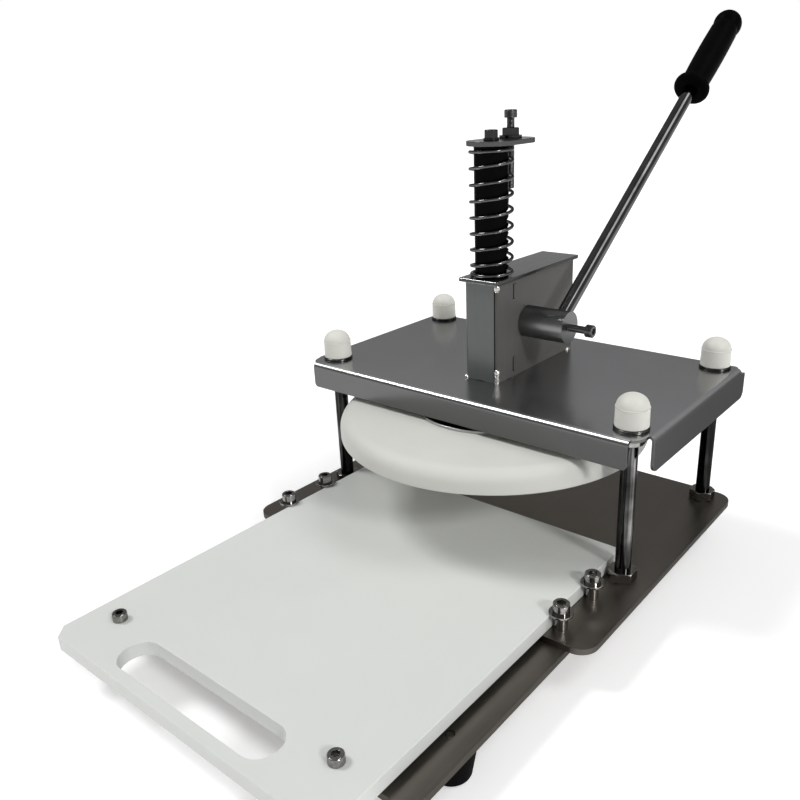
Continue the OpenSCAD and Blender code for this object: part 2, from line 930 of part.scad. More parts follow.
module flange_screws() {
  head_r = 4.6;
  head_h = 2.8;
  rim_h = 0.8;
  shank = flange_t + flange_screw_in;
  color("#c0c2c5")
    at_flange_screws(bar_z)
      difference() {
        rotate_extrude()
          polygon(concat(
            [[0, -shank], [flange_screw_d / 2, -shank], [flange_screw_d / 2, 0], [head_r, 0]],
            [for (i = [0:arc_steps]) let (a = 90 * i / arc_steps)
              [head_r * cos(a), rim_h + (head_h - rim_h) * sin(a)]]
          ));
        translate([0, 0, head_h - 1.4])
          cylinder(d = 3 / cos(30), h = 1.4 + cut, $fn = 6);
      }
}

module press_disc() {
  top_r = 5;
  bottom_r = 1.5;
  r = disc_d / 2;
  color("#dcdcda")
    difference() {
      at_press(0, 0, disc_z)
        rotate_extrude()
          polygon(concat(
            [[0, 0]],
            arc(r - bottom_r, bottom_r, bottom_r, -90, 0),
            arc(r - top_r, disc_t - top_r, top_r, 0, 90),
            [[0, disc_t]]
          ));
      at_press(0, 0, flange_z - bar_bolt[2] - 1)
        cylinder(d = bar_bolt[1] + 2, h = bar_bolt[2] + 1 + cut);
      at_flange_screws(flange_z - flange_screw_in - 0.5)
        cylinder(d = flange_screw_d + 2 * seat_gap, h = flange_screw_in + 0.5 + cut);
    }
}

module cap_plate() {
  color("#9d9fa2")
    difference() {
      at_press(0, stop_y / 2, cap_plate_z)
        linear_extrude(cap_plate_t)
          rotate(90)
            slot_shape(stop_y + 2 * cap_plate_r, 2 * cap_plate_r);
      at_press(0, 0, cap_plate_z - cut)
        cylinder(d = small_screw[0] + 2 * hole_gap, h = cap_plate_t + 2 * cut);
      at_press(0, stop_y, cap_plate_z - cut)
        cylinder(d = small_screw[0] + 2 * run_gap, h = cap_plate_t + 2 * cut);
    }
}

module cap_washer() {
  color("#c4c6c9")
    at_press(0, 0, cap_plate_z + cap_plate_t)
      ring(cap_washer_r, small_screw[0] / 2 + hole_gap, cap_washer_t);
}

module cap_screw() {
  color("#b9bbbe")
    at_press(0, 0, cap_plate_z + cap_plate_t + cap_washer_t)
      socket_screw(small_screw, cap_washer_t + cap_plate_t + cap_screw_in);
}

// Flanged lock nut of the depth stop
module stop_nut() {
  bore_r = small_screw[0] / 2 + run_gap;
  color("#b5b7ba")
    at_press(0, stop_y, cap_plate_z + cap_plate_t) {
      ring(stop_nut_flange_r, bore_r, stop_nut_flange_t);
      translate([0, 0, stop_nut_flange_t / 2])
        hex_nut(stop_nut_af, stop_nut_h - stop_nut_flange_t / 2, bore_r);
    }
}

module stop_screw() {
  head_z = cap_plate_z + cap_plate_t + stop_nut_h + stop_neck;
  color("#b9bbbe")
    at_press(0, stop_y, head_z)
      socket_screw(small_screw, head_z - lid_top - stop_above_lid);
}

// Sliding board

board_stop_y = -board_front + slot_rim + slot_w;
board_stop_drop = 3;
board_in = -board_stop_y - base_front - small_screw[0] / 2 - slide_gap;

module slide_board() {
  half = board_w / 2;
  rear = board_len - board_front;
  rear_r = 4;
  color("#efefec")
    difference() {
      at_press(0, 0, slide_gap)
        linear_extrude(board_t)
          difference() {
            union() {
              polygon([
                [-half + board_chamfer, -board_front], [half - board_chamfer, -board_front],
                [half, -board_front + board_chamfer], [half, rear - rear_r], [half - rear_r, rear - rear_r],
                [half - rear_r, rear], [-half + rear_r, rear], [-half + rear_r, rear - rear_r],
                [-half, rear - rear_r], [-half, -board_front + board_chamfer]
              ]);
              for (side = [-1, 1])
                translate([side * (half - rear_r), rear - rear_r])
                  circle(rear_r);
            }
            translate([0, -board_front + slot_rim + slot_w / 2])
              slot_shape(slot_len, slot_w);
          }
      for (side = [-1, 1])
        at_press(side * stop_screw_span / 2, board_stop_y, slide_gap - cut)
          cylinder(d = small_screw[0] + 2 * seat_gap, h = board_t + 2 * cut);
    }
}

module board_stop_screws() {
  color("#b9bbbe")
    for (side = [-1, 1])
      at_press(side * stop_screw_span / 2, board_stop_y, slide_gap + board_t)
        socket_screw(small_screw, board_t + board_stop_drop);
}

echo(str("lever swing ", lever_swing, " degrees for a stroke of ", stroke, " mm"));
echo(str("board slides from -", board_pull_out, " to ", board_in, " mm"));
echo(str("press axis y ", press_y, ", pinion axis y ", press_y + pinion_dist, " z ", base_top + pinion_z));
echo(str("lid top z ", base_top + lid_top, ", pitch radius ", pitch_r));

rubber_feet();
foot_screws();
support_plate();
base_plate();
corner_posts();
base_nuts();
under_base_nuts();
under_top_nuts();
cap_washers();
post_top_nuts();
nut_caps();
top_plate();
gear_housing();
housing_side_plate();
housing_lid();
rack_keepers();
ram_guide_bush();
shaft_bushes();
guide_sleeves();
guide_washers();
guide_screws();
guide_nuts();
return_spring();
pinion_shaft();
pinion_gear();
pinion_key();
shaft_clip();
lever_rod();
lever_grip();
clamp_screw();
rack_bar();
bar_bolt();
press_flange();
flange_screws();
press_disc();
cap_plate();
cap_washer();
cap_screw();
stop_nut();
stop_screw();
slide_board();
board_stop_screws();
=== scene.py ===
"""Looks of a hand lever flatbread press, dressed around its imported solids.

Each sub-assembly is a class that takes its places from the frame, models its visible pieces and gives
them their finishes. Lengths are metres in the frame's own axes: +X right, +Y rear, +Z up.
"""

import json
import logging
import math
from dataclasses import dataclass
from enum import Enum
from typing import Callable, Sequence

import bmesh
import bpy
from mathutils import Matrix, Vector

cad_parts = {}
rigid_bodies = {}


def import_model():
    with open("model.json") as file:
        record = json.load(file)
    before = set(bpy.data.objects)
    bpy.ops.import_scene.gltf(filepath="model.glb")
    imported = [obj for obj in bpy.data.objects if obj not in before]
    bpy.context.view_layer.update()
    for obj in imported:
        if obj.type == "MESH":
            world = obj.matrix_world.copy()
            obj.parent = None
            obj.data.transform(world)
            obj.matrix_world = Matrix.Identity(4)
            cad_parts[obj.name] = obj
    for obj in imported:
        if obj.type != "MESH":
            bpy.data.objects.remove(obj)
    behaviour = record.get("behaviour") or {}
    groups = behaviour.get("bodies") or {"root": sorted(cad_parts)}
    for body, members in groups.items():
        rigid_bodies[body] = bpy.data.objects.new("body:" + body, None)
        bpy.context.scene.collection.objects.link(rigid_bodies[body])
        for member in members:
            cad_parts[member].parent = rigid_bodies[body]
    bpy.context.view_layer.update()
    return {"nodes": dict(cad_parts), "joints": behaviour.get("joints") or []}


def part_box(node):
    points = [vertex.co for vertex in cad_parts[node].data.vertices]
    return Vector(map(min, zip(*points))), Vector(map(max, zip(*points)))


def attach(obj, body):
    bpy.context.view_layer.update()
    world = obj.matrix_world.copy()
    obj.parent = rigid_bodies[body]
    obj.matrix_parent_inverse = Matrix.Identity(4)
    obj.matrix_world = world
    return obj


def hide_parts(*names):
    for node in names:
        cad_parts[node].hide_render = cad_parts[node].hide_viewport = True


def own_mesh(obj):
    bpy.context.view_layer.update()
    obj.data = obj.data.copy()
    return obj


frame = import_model()

MM = 0.001
SAME_POINT = 0.001 * MM
NEAR = 0.01 * MM
FASTENER_EDGE = 0.25 * MM
LOG = logging.getLogger("flatbread_press")

Piece = bpy.types.Object
Socket = bpy.types.NodeSocket
Profile = Sequence[tuple[float, float]]
Colour = tuple[float, float, float]
EdgeTest = Callable[[Vector, Vector], bool]
PointTest = Callable[[Vector], bool]


class Body(Enum):
    """Rigid bodies of the press."""

    FRAME = "frame"
    LEVER = "lever"
    RAM = "ram"
    DEPTH_STOP = "depth_stop"
    BOARD = "board"


class Run(Enum):
    """Direction that a brushed or drawn finish runs in, as the stretch of its coordinates."""

    ALONG_X = (0.03, 1.0, 1.0)
    ALONG_Y = (1.0, 0.03, 1.0)
    ALONG_Z = (1.0, 1.0, 0.03)
    ALL_WAYS = (1.0, 1.0, 1.0)
    ROUND_X = (1.0, 0.03, 0.03)
    ACROSS_X = (1.0, 0.0, 0.0)


@dataclass(frozen=True)
class Place:
    """Box that a CAD node fills at rest.

    Attributes:
        low: Lowest corner.
        high: Highest corner.
    """

    low: Vector
    high: Vector

    @classmethod
    def of(cls, node: str) -> "Place":
        """Read the box of a CAD node."""
        low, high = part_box(node)
        return cls(low, high)

    @property
    def size(self) -> Vector:
        """Lengths of the box's sides."""
        return self.high - self.low

    @property
    def middle(self) -> Vector:
        """Centre of the box."""
        return (self.low + self.high) / 2

    @property
    def foot(self) -> Vector:
        """Centre of the box's bottom."""
        return Vector((self.middle.x, self.middle.y, self.low.z))


def joint(name: str) -> dict:
    """Look up a joint of the frame."""
    return next(j for j in frame["joints"] if j["name"] == name)


def grey(level: float) -> Colour:
    """Make a neutral colour."""
    return (level, level, level)


class Nodes:
    """Small layer for building a shader or group node tree."""

    def __init__(self, tree: bpy.types.NodeTree) -> None:
        """Keep the tree that nodes are added to."""
        self.tree = tree

    def fill(self, sockets: bpy.types.bpy_prop_collection, links: dict) -> None:
        """Link or set input sockets of one node.

        Args:
            sockets: The node's inputs.
            links: Input name or number, to a socket to link or a value to set.
        """
        for key, value in links.items():
            if isinstance(value, Socket):
                self.tree.links.new(value, sockets[key])
            else:
                sockets[key].default_value = (*value, 1.0) if sockets[key].type == "RGBA" else value

    def add(self, kind: str, links: dict | None = None, **settings: object) -> bpy.types.Node:
        """Add one node.

        Args:
            kind: Node type.
            links: Input name or number, to a socket to link or a value to set.
            **settings: Properties to set on the node.

        Returns:
            The new node.
        """
        made = self.tree.nodes.new(kind)
        for key, value in settings.items():
            setattr(made, key, value)
        self.fill(made.inputs, links or {})
        return made

    def math(self, operation: str, a: object, b: object = 0.0) -> Socket:
        """Add a math node and return its output."""
        return self.add("ShaderNodeMath", {0: a, 1: b}, operation=operation).outputs[0]

    def mix(self, a: Socket, a_share: float, b: Socket, b_share: float) -> Socket:
        """Add two values up, each by its share."""
        return self.math("ADD", self.math("MULTIPLY", a, a_share), self.math("MULTIPLY", b, b_share))

    def ramp(self, value: Socket, low: float, high: float) -> Socket:
        """Spread a value from low..high to 0..1 and clip it."""
        links = {"Value": value, "From Min": low, "From Max": high}
        return self.add("ShaderNodeMapRange", links, clamp=True).outputs["Result"]

    def span(self, value: Socket, ends: tuple[float, float]) -> Socket:
        """Spread a value from 0..1 to between two ends and clip it."""
        links = {"Value": value, "To Min": ends[0], "To Max": ends[1]}
        return self.add("ShaderNodeMapRange", links, clamp=True).outputs["Result"]

    def blend(self, share: object, a: object, b: object) -> Socket:
        """Mix two colours by a share."""
        return self.add("ShaderNodeMix", {0: share, 6: a, 7: b}, data_type="RGBA").outputs[2]

    def mapped(self, where: Socket, **changes: Sequence[float]) -> Socket:
        """Move, turn or stretch coordinates."""
        return self.add("ShaderNodeMapping", {"Vector": where, **changes}).outputs[0]

    def noise(self, where: Socket, scale: object, detail: float, finer: float = 1.0) -> Socket:
        """Add a noise texture, finer than a scale by a factor, and return its value."""
        links = {"Vector": where, "Scale": self.math("MULTIPLY", scale, finer), "Detail": detail}
        return self.add("ShaderNodeTexNoise", links).outputs[0]

    def effect(self, effect: "Effect", where: Socket, scale: float) -> Socket:
        """Place a shared effect and return its amount."""
        links = {"Where": where, "Scale": scale}
        return self.add("ShaderNodeGroup", links, node_tree=effect.group()).outputs["Amount"]

    def bump(self, height: Socket, depth: float, strength: float) -> Socket:
        """Turn a height into a bumped normal."""
        links = {"Height": height, "Distance": depth, "Strength": strength}
        return self.add("ShaderNodeBump", links).outputs[0]


class Effect(Enum):
    """Surface effects that several finishes share, each one a node group."""

    BRUSHED = "brushed lines"
    SMUDGED = "smudges"
    GRAINED = "fine grain"
    SCRATCHED = "hairline scratches"

    def group(self) -> bpy.types.NodeTree:
        """Build this effect's node group on first use.

        Returns:
            The group, with Where and Scale going in and Amount coming out.
        """
        tree = bpy.data.node_groups.get(self.value)
        if tree is None:
            tree = bpy.data.node_groups.new(self.value, "ShaderNodeTree")
            tree.interface.new_socket("Where", in_out="INPUT", socket_type="NodeSocketVector")
            tree.interface.new_socket("Scale", in_out="INPUT", socket_type="NodeSocketFloat")
            tree.interface.new_socket("Amount", in_out="OUTPUT", socket_type="NodeSocketFloat")
            nodes = Nodes(tree)
            given = nodes.add("NodeGroupInput").outputs
            nodes.add("NodeGroupOutput", {"Amount": self.amount(nodes, given["Where"], given["Scale"])})
        return tree

    def amount(self, nodes: Nodes, where: Socket, scale: Socket) -> Socket:
        """Build the nodes inside the group.

        Args:
            nodes: Group to build in.
            where: Coordinates; for brushing, the material has stretched them along the lines.
            scale: Features per metre.

        Returns:
            Strength of the effect, from 0 to 1.
        """
        match self:
            case Effect.BRUSHED:
                coarse = nodes.noise(where, scale, 2.0, 0.21)
                return nodes.ramp(nodes.mix(nodes.noise(where, scale, 2.0), 0.6, coarse, 0.4), 0.32, 0.68)
            case Effect.SMUDGED:
                spots = nodes.noise(where, scale, 3.0, 4.7)
                return nodes.ramp(nodes.mix(nodes.noise(where, scale, 4.0), 0.7, spots, 0.3), 0.38, 0.66)
            case Effect.GRAINED:
                cells = nodes.add("ShaderNodeTexVoronoi", {"Vector": where, "Scale": scale})
                return nodes.mix(cells.outputs["Distance"], 0.6, nodes.noise(where, scale, 2.0, 0.5), 0.4)
            case Effect.SCRATCHED:
                gate = nodes.ramp(nodes.noise(where, scale, 2.0, 0.35), 0.5, 0.62)
                lines = []
                for turn in (0.5, -0.9):
                    along = nodes.mapped(where, Rotation=(0.0, 0.0, turn))
                    thin = nodes.noise(nodes.mapped(along, Scale=(0.035, 1.0, 1.0)), scale, 1.0, 9.0)
                    lines.append(nodes.ramp(thin, 0.66, 0.72))
                return nodes.math("MULTIPLY", gate, nodes.math("MAXIMUM", *lines))


@dataclass(frozen=True)
class Finish:
    """Base of all finishes: builds its material once and hands it out.

    Attributes:
        name: Name of the material.
    """

    name: str

    def material(self) -> bpy.types.Material:
        """Build this finish's material on first use.

        Returns:
            The material.
        """
        made = bpy.data.materials.get(self.name)
        if made is None:
            made = bpy.data.materials.new(self.name)
            made.use_nodes = True
            nodes = Nodes(made.node_tree)
            where = nodes.add("ShaderNodeTexCoord").outputs["Object"]
            nodes.fill(made.node_tree.nodes["Principled BSDF"].inputs, self.inputs(nodes, where))
        return made

    def inputs(self, nodes: Nodes, where: Socket) -> dict:
        """Build the finish's nodes.

        Args:
            nodes: Material to build in.
            where: Object coordinates.

        Returns:
            What each of the shader's sockets gets: a socket to link or a value.
        """
        raise NotImplementedError


@dataclass(frozen=True)
class MetalFinish(Finish):
    """Bare, brushed or blackened metal.

    Attributes:
        dark: Colour in the furrows and under smudges.
        light: Colour on the ridges.
        rough: Lowest and highest roughness.
        run: Direction of the brushing.
        lines: Lines per metre, across the brushing.
        depth: Depth of the lines.
        smudge: Share of the roughness that smudges add.
        metallic: How far the surface is bare metal.
        upright: Share of its tone that an upright face keeps; below 1 this is painted shade on faces that
            stand up.
        edge: Tone of the reflection at a glancing angle.
        sharp: Contrast of the lines; above 1, thin light lines stand on a dark ground, which on the posts
            are painted reflection streaks.
        shine: Strength of the mirror-like part of the reflection, where it isn't bare metal.
        smudges: Smudges per metre.
    """

    dark: Colour
    light: Colour
    rough: tuple[float, float]
    run: Run = Run.ALL_WAYS
    lines: float = 1500.0
    depth: float = 0.004 * MM
    smudge: float = 0.35
    metallic: float = 1.0
    upright: float = 1.0
    edge: float = 0.5
    sharp: float = 1.0
    shine: float = 0.5
    smudges: float = 14.0

    def inputs(self, nodes: Nodes, where: Socket) -> dict:
        """Build brushing and smudges for colour, roughness and normal, and painted shade on upright faces.

        Args:
            nodes: Material to build in.
            where: Object coordinates.

        Returns:
            What each of the shader's sockets gets.
        """
        lines = nodes.effect(Effect.BRUSHED, nodes.mapped(where, Scale=self.run.value), self.lines)
        smudges = nodes.effect(Effect.SMUDGED, where, self.smudges)
        tone = nodes.mix(lines, 0.6, smudges, 0.4)
        # Sharpening leaves thin bright lines on a dark ground; on the posts these are painted reflection
        # streaks.
        if self.sharp != 1.0:
            tone = nodes.math("POWER", tone, self.sharp)
        colour = nodes.blend(tone, self.dark, self.light)
        # Painted shade: faces that stand up get a darker copy of the colour, by the share in upright.
        if self.upright < 1.0:
            normal = nodes.add("ShaderNodeNewGeometry").outputs["Normal"]
            way = nodes.add("ShaderNodeSeparateXYZ", {"Vector": normal}).outputs
            level = nodes.math("ABSOLUTE", way["Z"])
            dim = [tuple(self.upright * c for c in tint) for tint in (self.dark, self.light)]
            colour = nodes.blend(nodes.ramp(level, 0.45, 0.75), nodes.blend(tone, *dim), colour)
        spread = nodes.mix(lines, 1.0 - self.smudge, smudges, self.smudge)
        return {
            "Base Color": colour,
            "Roughness": nodes.span(spread, self.rough),
            "Normal": nodes.bump(lines, self.depth, 0.5),
            "Metallic": self.metallic,
            "Specular Tint": grey(self.edge),
            "Specular IOR Level": self.shine,
        }


@dataclass(frozen=True)
class PlasticFinish(Finish):
    """Plastic or rubber.

    Attributes:
        dark: Colour in the darker patches.
        light: Colour in the lighter patches.
        rough: Lowest and highest roughness.
        grain: Grains per metre.
        depth: Depth of the grain.
        scratches: Strength of the hairline scratches.
        glow: Share of light that spreads under the surface.
        turned: CAD node whose axis turned rings run round, if any.
        shine: Strength of the mirror-like part of the reflection.
        patches: Patches per metre.
        marks: Scratches per metre.
        rings: Scale of the turned rings.
    """

    dark: Colour
    light: Colour
    rough: tuple[float, float]
    grain: float
    depth: float
    scratches: float = 0.0
    glow: float = 0.0
    turned: str | None = None
    shine: float = 0.5
    patches: float = 9.0
    marks: float = 60.0
    rings: float = 130.0

    def inputs(self, nodes: Nodes, where: Socket) -> dict:
        """Build grain, patches, scratches and turned rings.

        Args:
            nodes: Material to build in.
            where: Object coordinates.

        Returns:
            What each of the shader's sockets gets.
        """
        height = nodes.effect(Effect.GRAINED, where, self.grain)
        patches = nodes.effect(Effect.SMUDGED, where, self.patches)
        rough = patches
        if self.scratches:
            marks = nodes.effect(Effect.SCRATCHED, where, self.marks)
            height = nodes.math("SUBTRACT", height, nodes.math("MULTIPLY", marks, self.scratches))
            rough = nodes.mix(patches, 0.7, marks, 0.3)
        if self.turned:
            axis = Place.of(self.turned).middle
            centred = nodes.mapped(where, Location=(-axis.x, -axis.y, 0.0))
            links = {"Vector": centred, "Scale": self.rings, "Distortion": 0.4}
            rings = nodes.add("ShaderNodeTexWave", links, wave_type="RINGS", rings_direction="Z")
            height = nodes.math("ADD", height, nodes.math("MULTIPLY", rings.outputs["Fac"], 0.6))
        return {
            "Base Color": nodes.blend(patches, self.dark, self.light),
            "Roughness": nodes.span(rough, self.rough),
            "Normal": nodes.bump(height, self.depth, 0.4),
            "Specular IOR Level": self.shine,
            "Subsurface Weight": self.glow,
            "Subsurface Radius": (1.0, 0.95, 0.85),
            "Subsurface Scale": 3 * MM,
        }


@dataclass(frozen=True)
class ThreadFinish(Finish):
    """Plated screw whose thread shows as fine turns along its axis.

    Attributes:
        colour: Colour of the plating.
        axis: Axis of the thread.
        rough: Roughness of the plating.
        pitch: Distance between turns.
        depth: Depth of the turns.
        tarnish: Spots of tarnish per metre.
    """

    colour: Colour
    axis: str
    rough: float
    pitch: float = 0.8 * MM
    depth: float = 0.25 * MM
    tarnish: float = 120.0

    def inputs(self, nodes: Nodes, where: Socket) -> dict:
        """Build the thread's turns, painted shade in their grooves and a little tarnish; a wave of scale 1
        repeats every tau / 20.

        Args:
            nodes: Material to build in.
            where: Object coordinates.

        Returns:
            What each of the shader's sockets gets.
        """
        links = {"Vector": where, "Scale": math.tau / 20 / self.pitch}
        wave = nodes.add("ShaderNodeTexWave", links, wave_type="BANDS", bands_direction=self.axis)
        turns = wave.outputs["Fac"]
        # Painted shade: the colour darkens in the grooves between turns; tarnish spots darken it too.
        tone = nodes.mix(turns, 0.6, nodes.effect(Effect.SMUDGED, where, self.tarnish), 0.4)
        groove_shade_and_tarnish = tuple(0.6 * c for c in self.colour)
        return {
            "Base Color": nodes.blend(tone, groove_shade_and_tarnish, self.colour),
            "Normal": nodes.bump(turns, self.depth, 0.6),
            "Roughness": self.rough,
            "Metallic": 1.0,
        }


@dataclass(frozen=True)
class WeldFinish(Finish):
    """Rippled weld bead with heat colours.

    Attributes:
        straw: Colour where the heat has tinted it.
        bare: Colour where it is bare.
        ripples: Ripples per metre.
        heat: Tinted spots per metre.
    """

    straw: Colour = (0.30, 0.27, 0.23)
    bare: Colour = (0.85, 0.85, 0.84)
    ripples: float = 900.0
    heat: float = 160.0

    def inputs(self, nodes: Nodes, where: Socket) -> dict:
        """Build ripples and the heat tint.

        Args:
            nodes: Material to build in.
            where: Object coordinates.

        Returns:
            What each of the shader's sockets gets.
        """
        heat = nodes.effect(Effect.SMUDGED, where, self.heat)
        return {
            "Base Color": nodes.blend(heat, self.straw, self.bare),
            "Normal": nodes.bump(nodes.noise(where, self.ripples, 2.0), 0.3 * MM, 0.6),
            "Roughness": 0.22,
            "Metallic": 1.0,
        }


@dataclass(frozen=True)
class FloorFinish(Finish):
    """White floor that looks a little brighter to the camera than it lights the press.

    Attributes:
        colour: Colour of the floor.
        lift: Brightness added where the floor is seen or mirrored.
    """

    colour: Colour = grey(0.92)
    lift: float = 0.3

    def inputs(self, nodes: Nodes, where: Socket) -> dict:
        """Build the lift from the kinds of ray that see the floor.

        Args:
            nodes: Material to build in.
            where: Object coordinates; not used.

        Returns:
            What each of the shader's sockets gets.
        """
        rays = nodes.add("ShaderNodeLightPath").outputs
        seen = nodes.math("MAXIMUM", rays["Is Camera Ray"], rays["Is Glossy Ray"])
        seen = nodes.math("MAXIMUM", seen, rays["Is Transmission Ray"])
        return {
            "Base Color": self.colour,
            "Roughness": 0.9,
            "Specular IOR Level": 0.1,
            "Emission Color": grey(1.0),
            "Emission Strength": nodes.math("MULTIPLY", seen, self.lift),
        }


# The top plate's folds get painted shade through upright.
SHEET = MetalFinish("sheet_steel_brushed", (0.73, 0.733, 0.736), (0.77, 0.773, 0.776), (0.24, 0.27),
                    Run.ALONG_X, depth=0.0012 * MM, upright=0.19, edge=0.3)
# Painted shade: the housing walls are a much darker copy of the sheet steel, for the dark reflection that
# upright sheet shows.
WALL_PAINTED_SHADE = MetalFinish("sheet_steel_upright_painted_shade", (0.110, 0.117, 0.115), (0.126, 0.133, 0.131), (0.26, 0.34),
                   Run.ALONG_Z, metallic=0.4)
# Painted shade: the side plate is a darker, less metallic copy of the sheet steel, for how light falls on
# it.
SIDE_PAINTED_SHADE = MetalFinish("sheet_steel_side_painted_shade", (0.092, 0.089, 0.085), (0.106, 0.103, 0.098), (0.34, 0.42),
                   Run.ALONG_Z, metallic=0.1, shine=0.1)
# The lid's edges get painted shade through upright.
LID = MetalFinish("sheet_steel_lid", grey(0.50), grey(0.55), (0.20, 0.30), Run.ALONG_Y, upright=0.13)
# The plates' edges get painted shade through upright.
PLATE = MetalFinish("plate_steel_mill", (0.20, 0.184, 0.164), (0.23, 0.212, 0.189), (0.30, 0.40),
                    Run.ALONG_Y, 500.0, upright=0.5)
# Painted reflection: coarse streaks along the posts, sharpened into thin bright lines on a dark ground.
BRIGHT_PAINTED_STREAKS = MetalFinish("bright_steel_painted_streaks", grey(0.010), (0.50, 0.49, 0.48), (0.06, 0.12),
                     Run.ALONG_Z, 420.0, smudge=0.1, sharp=5.0)
# Painted reflection: coarse stripes across X run along the lever rod as light lines on a dark ground.
ROD_PAINTED_STREAKS = MetalFinish("bright_steel_rod_painted_streaks", grey(0.004), grey(0.26), (0.06, 0.10), Run.ACROSS_X, 260.0)
HUB = MetalFinish("hub_steel_turned", grey(0.20), grey(0.23), (0.30, 0.34),
                  Run.ROUND_X, 700.0, 0.0004 * MM, smudge=0.1)
PLATED = MetalFinish("fastener_plated", (0.10, 0.097, 0.093), (0.48, 0.47, 0.455), (0.06, 0.14),
                     lines=1600.0)
DARK_PLATED = MetalFinish("fastener_dark", grey(0.02), grey(0.05), (0.12, 0.22), lines=1600.0)
# The cap plate's edges get painted shade through upright.
CAP_STEEL = MetalFinish("cap_plate_steel", grey(0.18), grey(0.25), (0.20, 0.32),
                        Run.ALONG_Y, 900.0, upright=0.4)
GLOSS_BLACK = MetalFinish("washer_black", grey(0.02), (0.26, 0.26, 0.25), (0.06, 0.12),
                          lines=900.0, sharp=2.0)
WIRE = MetalFinish("spring_wire", grey(0.05), grey(0.16), (0.10, 0.18))
BLACKENED = MetalFinish("black_steel_oiled", grey(0.002), grey(0.005), (0.30, 0.46),
                        lines=1200.0, depth=0.02 * MM)
EDGE_STEEL = MetalFinish("bare_edge", grey(0.40), grey(0.60), (0.16, 0.28))
BRONZE = MetalFinish("bush_bronze_plain", (0.40, 0.27, 0.11), (0.58, 0.42, 0.20), (0.24, 0.40),
                     lines=1400.0, depth=0.02 * MM)
THREAD = ThreadFinish("fastener_thread", grey(0.10), "Z", 0.26)
CROSS_THREAD = ThreadFinish("clamp_screw_thread", grey(0.12), "X", 0.16)
WELD = WeldFinish("weld_bead")
BOARD = PlasticFinish("board_plastic_sheet", (0.655, 0.67, 0.645), (0.675, 0.69, 0.665), (0.34, 0.38),
                      900.0, 0.008 * MM, scratches=0.1, glow=0.12)
CAPS = PlasticFinish("cap_plastic_moulded", (0.66, 0.655, 0.605), (0.70, 0.695, 0.645), (0.40, 0.50),
                     1500.0, 0.01 * MM, glow=0.10, shine=0.25)
DISC = PlasticFinish("disc_plastic_turned", (0.62, 0.62, 0.585), (0.65, 0.65, 0.615), (0.50, 0.60),
                     1000.0, 0.012 * MM, scratches=0.2, glow=0.12, turned="press_disc", shine=0.15)
GRIP = PlasticFinish("grip_plastic_moulded", grey(0.0015), grey(0.003), (0.40, 0.55),
                     2200.0, 0.06 * MM, shine=0.01)
RUBBER = PlasticFinish("foot_rubber_moulded", grey(0.002), grey(0.004), (0.55, 0.75),
                       1600.0, 0.05 * MM, shine=0.03)


def arc(centre_r: float, centre_z: float, radius: float, start: float, end: float, steps: int = 8) -> list:
    """Points of a rounded corner of a turned profile.

    Args:
        centre_r: Distance of the arc's centre from the axis.
        centre_z: Height of the arc's centre.
        radius: Radius of the arc.
        start: First angle in degrees, 0 pointing away from the axis.
        end: Last angle in degrees.
        steps: Straight steps along the arc.

    Returns:
        Pairs of radius and height.
    """
    turns = [math.radians(start + (end - start) * i / steps) for i in range(steps + 1)]
    return [(centre_r + radius * math.cos(turn), centre_z + radius * math.sin(turn)) for turn in turns]


def clear() -> None:
    """Deselect everything in the scene."""
    bpy.ops.object.select_all(action="DESELECT")


def pick(*pieces: Piece) -> None:
    """Select only some pieces, with the first one active.

    Args:
        *pieces: What to select.
    """
    clear()
    for piece in pieces:
        piece.select_set(True)
    bpy.context.view_layer.objects.active = pieces[0]


def edit(piece: Piece) -> None:
    """Open a piece in edit mode with all of it selected.

    Args:
        piece: Object to open.
    """
    pick(piece)
    bpy.ops.object.mode_set(mode="EDIT")
    bpy.ops.mesh.select_mode(type="VERT")
    bpy.ops.mesh.select_all(action="SELECT")


def close() -> None:
    """Point all faces outwards and leave edit mode."""
    bpy.ops.mesh.select_all(action="SELECT")
    bpy.ops.mesh.normals_make_consistent(inside=False)
    bpy.ops.object.mode_set(mode="OBJECT")


def select_edges(piece: Piece, wanted: EdgeTest) -> None:
    """Select the edges of a piece in edit mode whose two ends pass a test.

    Args:
        piece: Object that is open in edit mode.
        wanted: Test that takes the two end points.
    """
    bpy.ops.mesh.select_mode(type="EDGE")
    bpy.ops.mesh.select_all(action="DESELECT")
    for edge in bmesh.from_edit_mesh(piece.data).edges:
        edge.select_set(wanted(edge.verts[0].co, edge.verts[1].co))
    bmesh.update_edit_mesh(piece.data)


def select_points(piece: Piece, wanted: PointTest) -> None:
    """Select the points of a piece in edit mode that pass a test.

    Args:
        piece: Object that is open in edit mode.
        wanted: Test that takes a point.
    """
    bpy.ops.mesh.select_mode(type="VERT")
    bpy.ops.mesh.select_all(action="DESELECT")
    for point in bmesh.from_edit_mesh(piece.data).verts:
        point.select_set(wanted(point.co))
    bmesh.update_edit_mesh(piece.data)


def cut_corners(offset: float, segments: int) -> None:
    """Round the outline at the selected points, or chamfer it where there is one segment."""
    bpy.ops.mesh.bevel(offset=offset, segments=segments, affect="VERTICES")


def draw_back(piece: Piece, wanted: PointTest, by: Sequence[float]) -> None:
    """Move some of a piece's points.

    Args:
        piece: Object to change.
        wanted: Test that picks the points.
        by: How far they move.
    """
    edit(piece)
    select_points(piece, wanted)
    bpy.ops.transform.translate(value=by)
    bpy.ops.object.mode_set(mode="OBJECT")


def settle(piece: Piece) -> None:
    """Move an object's place, turn and scale into its mesh."""
    pick(piece)
    bpy.ops.object.transform_apply(location=True, rotation=True, scale=True)


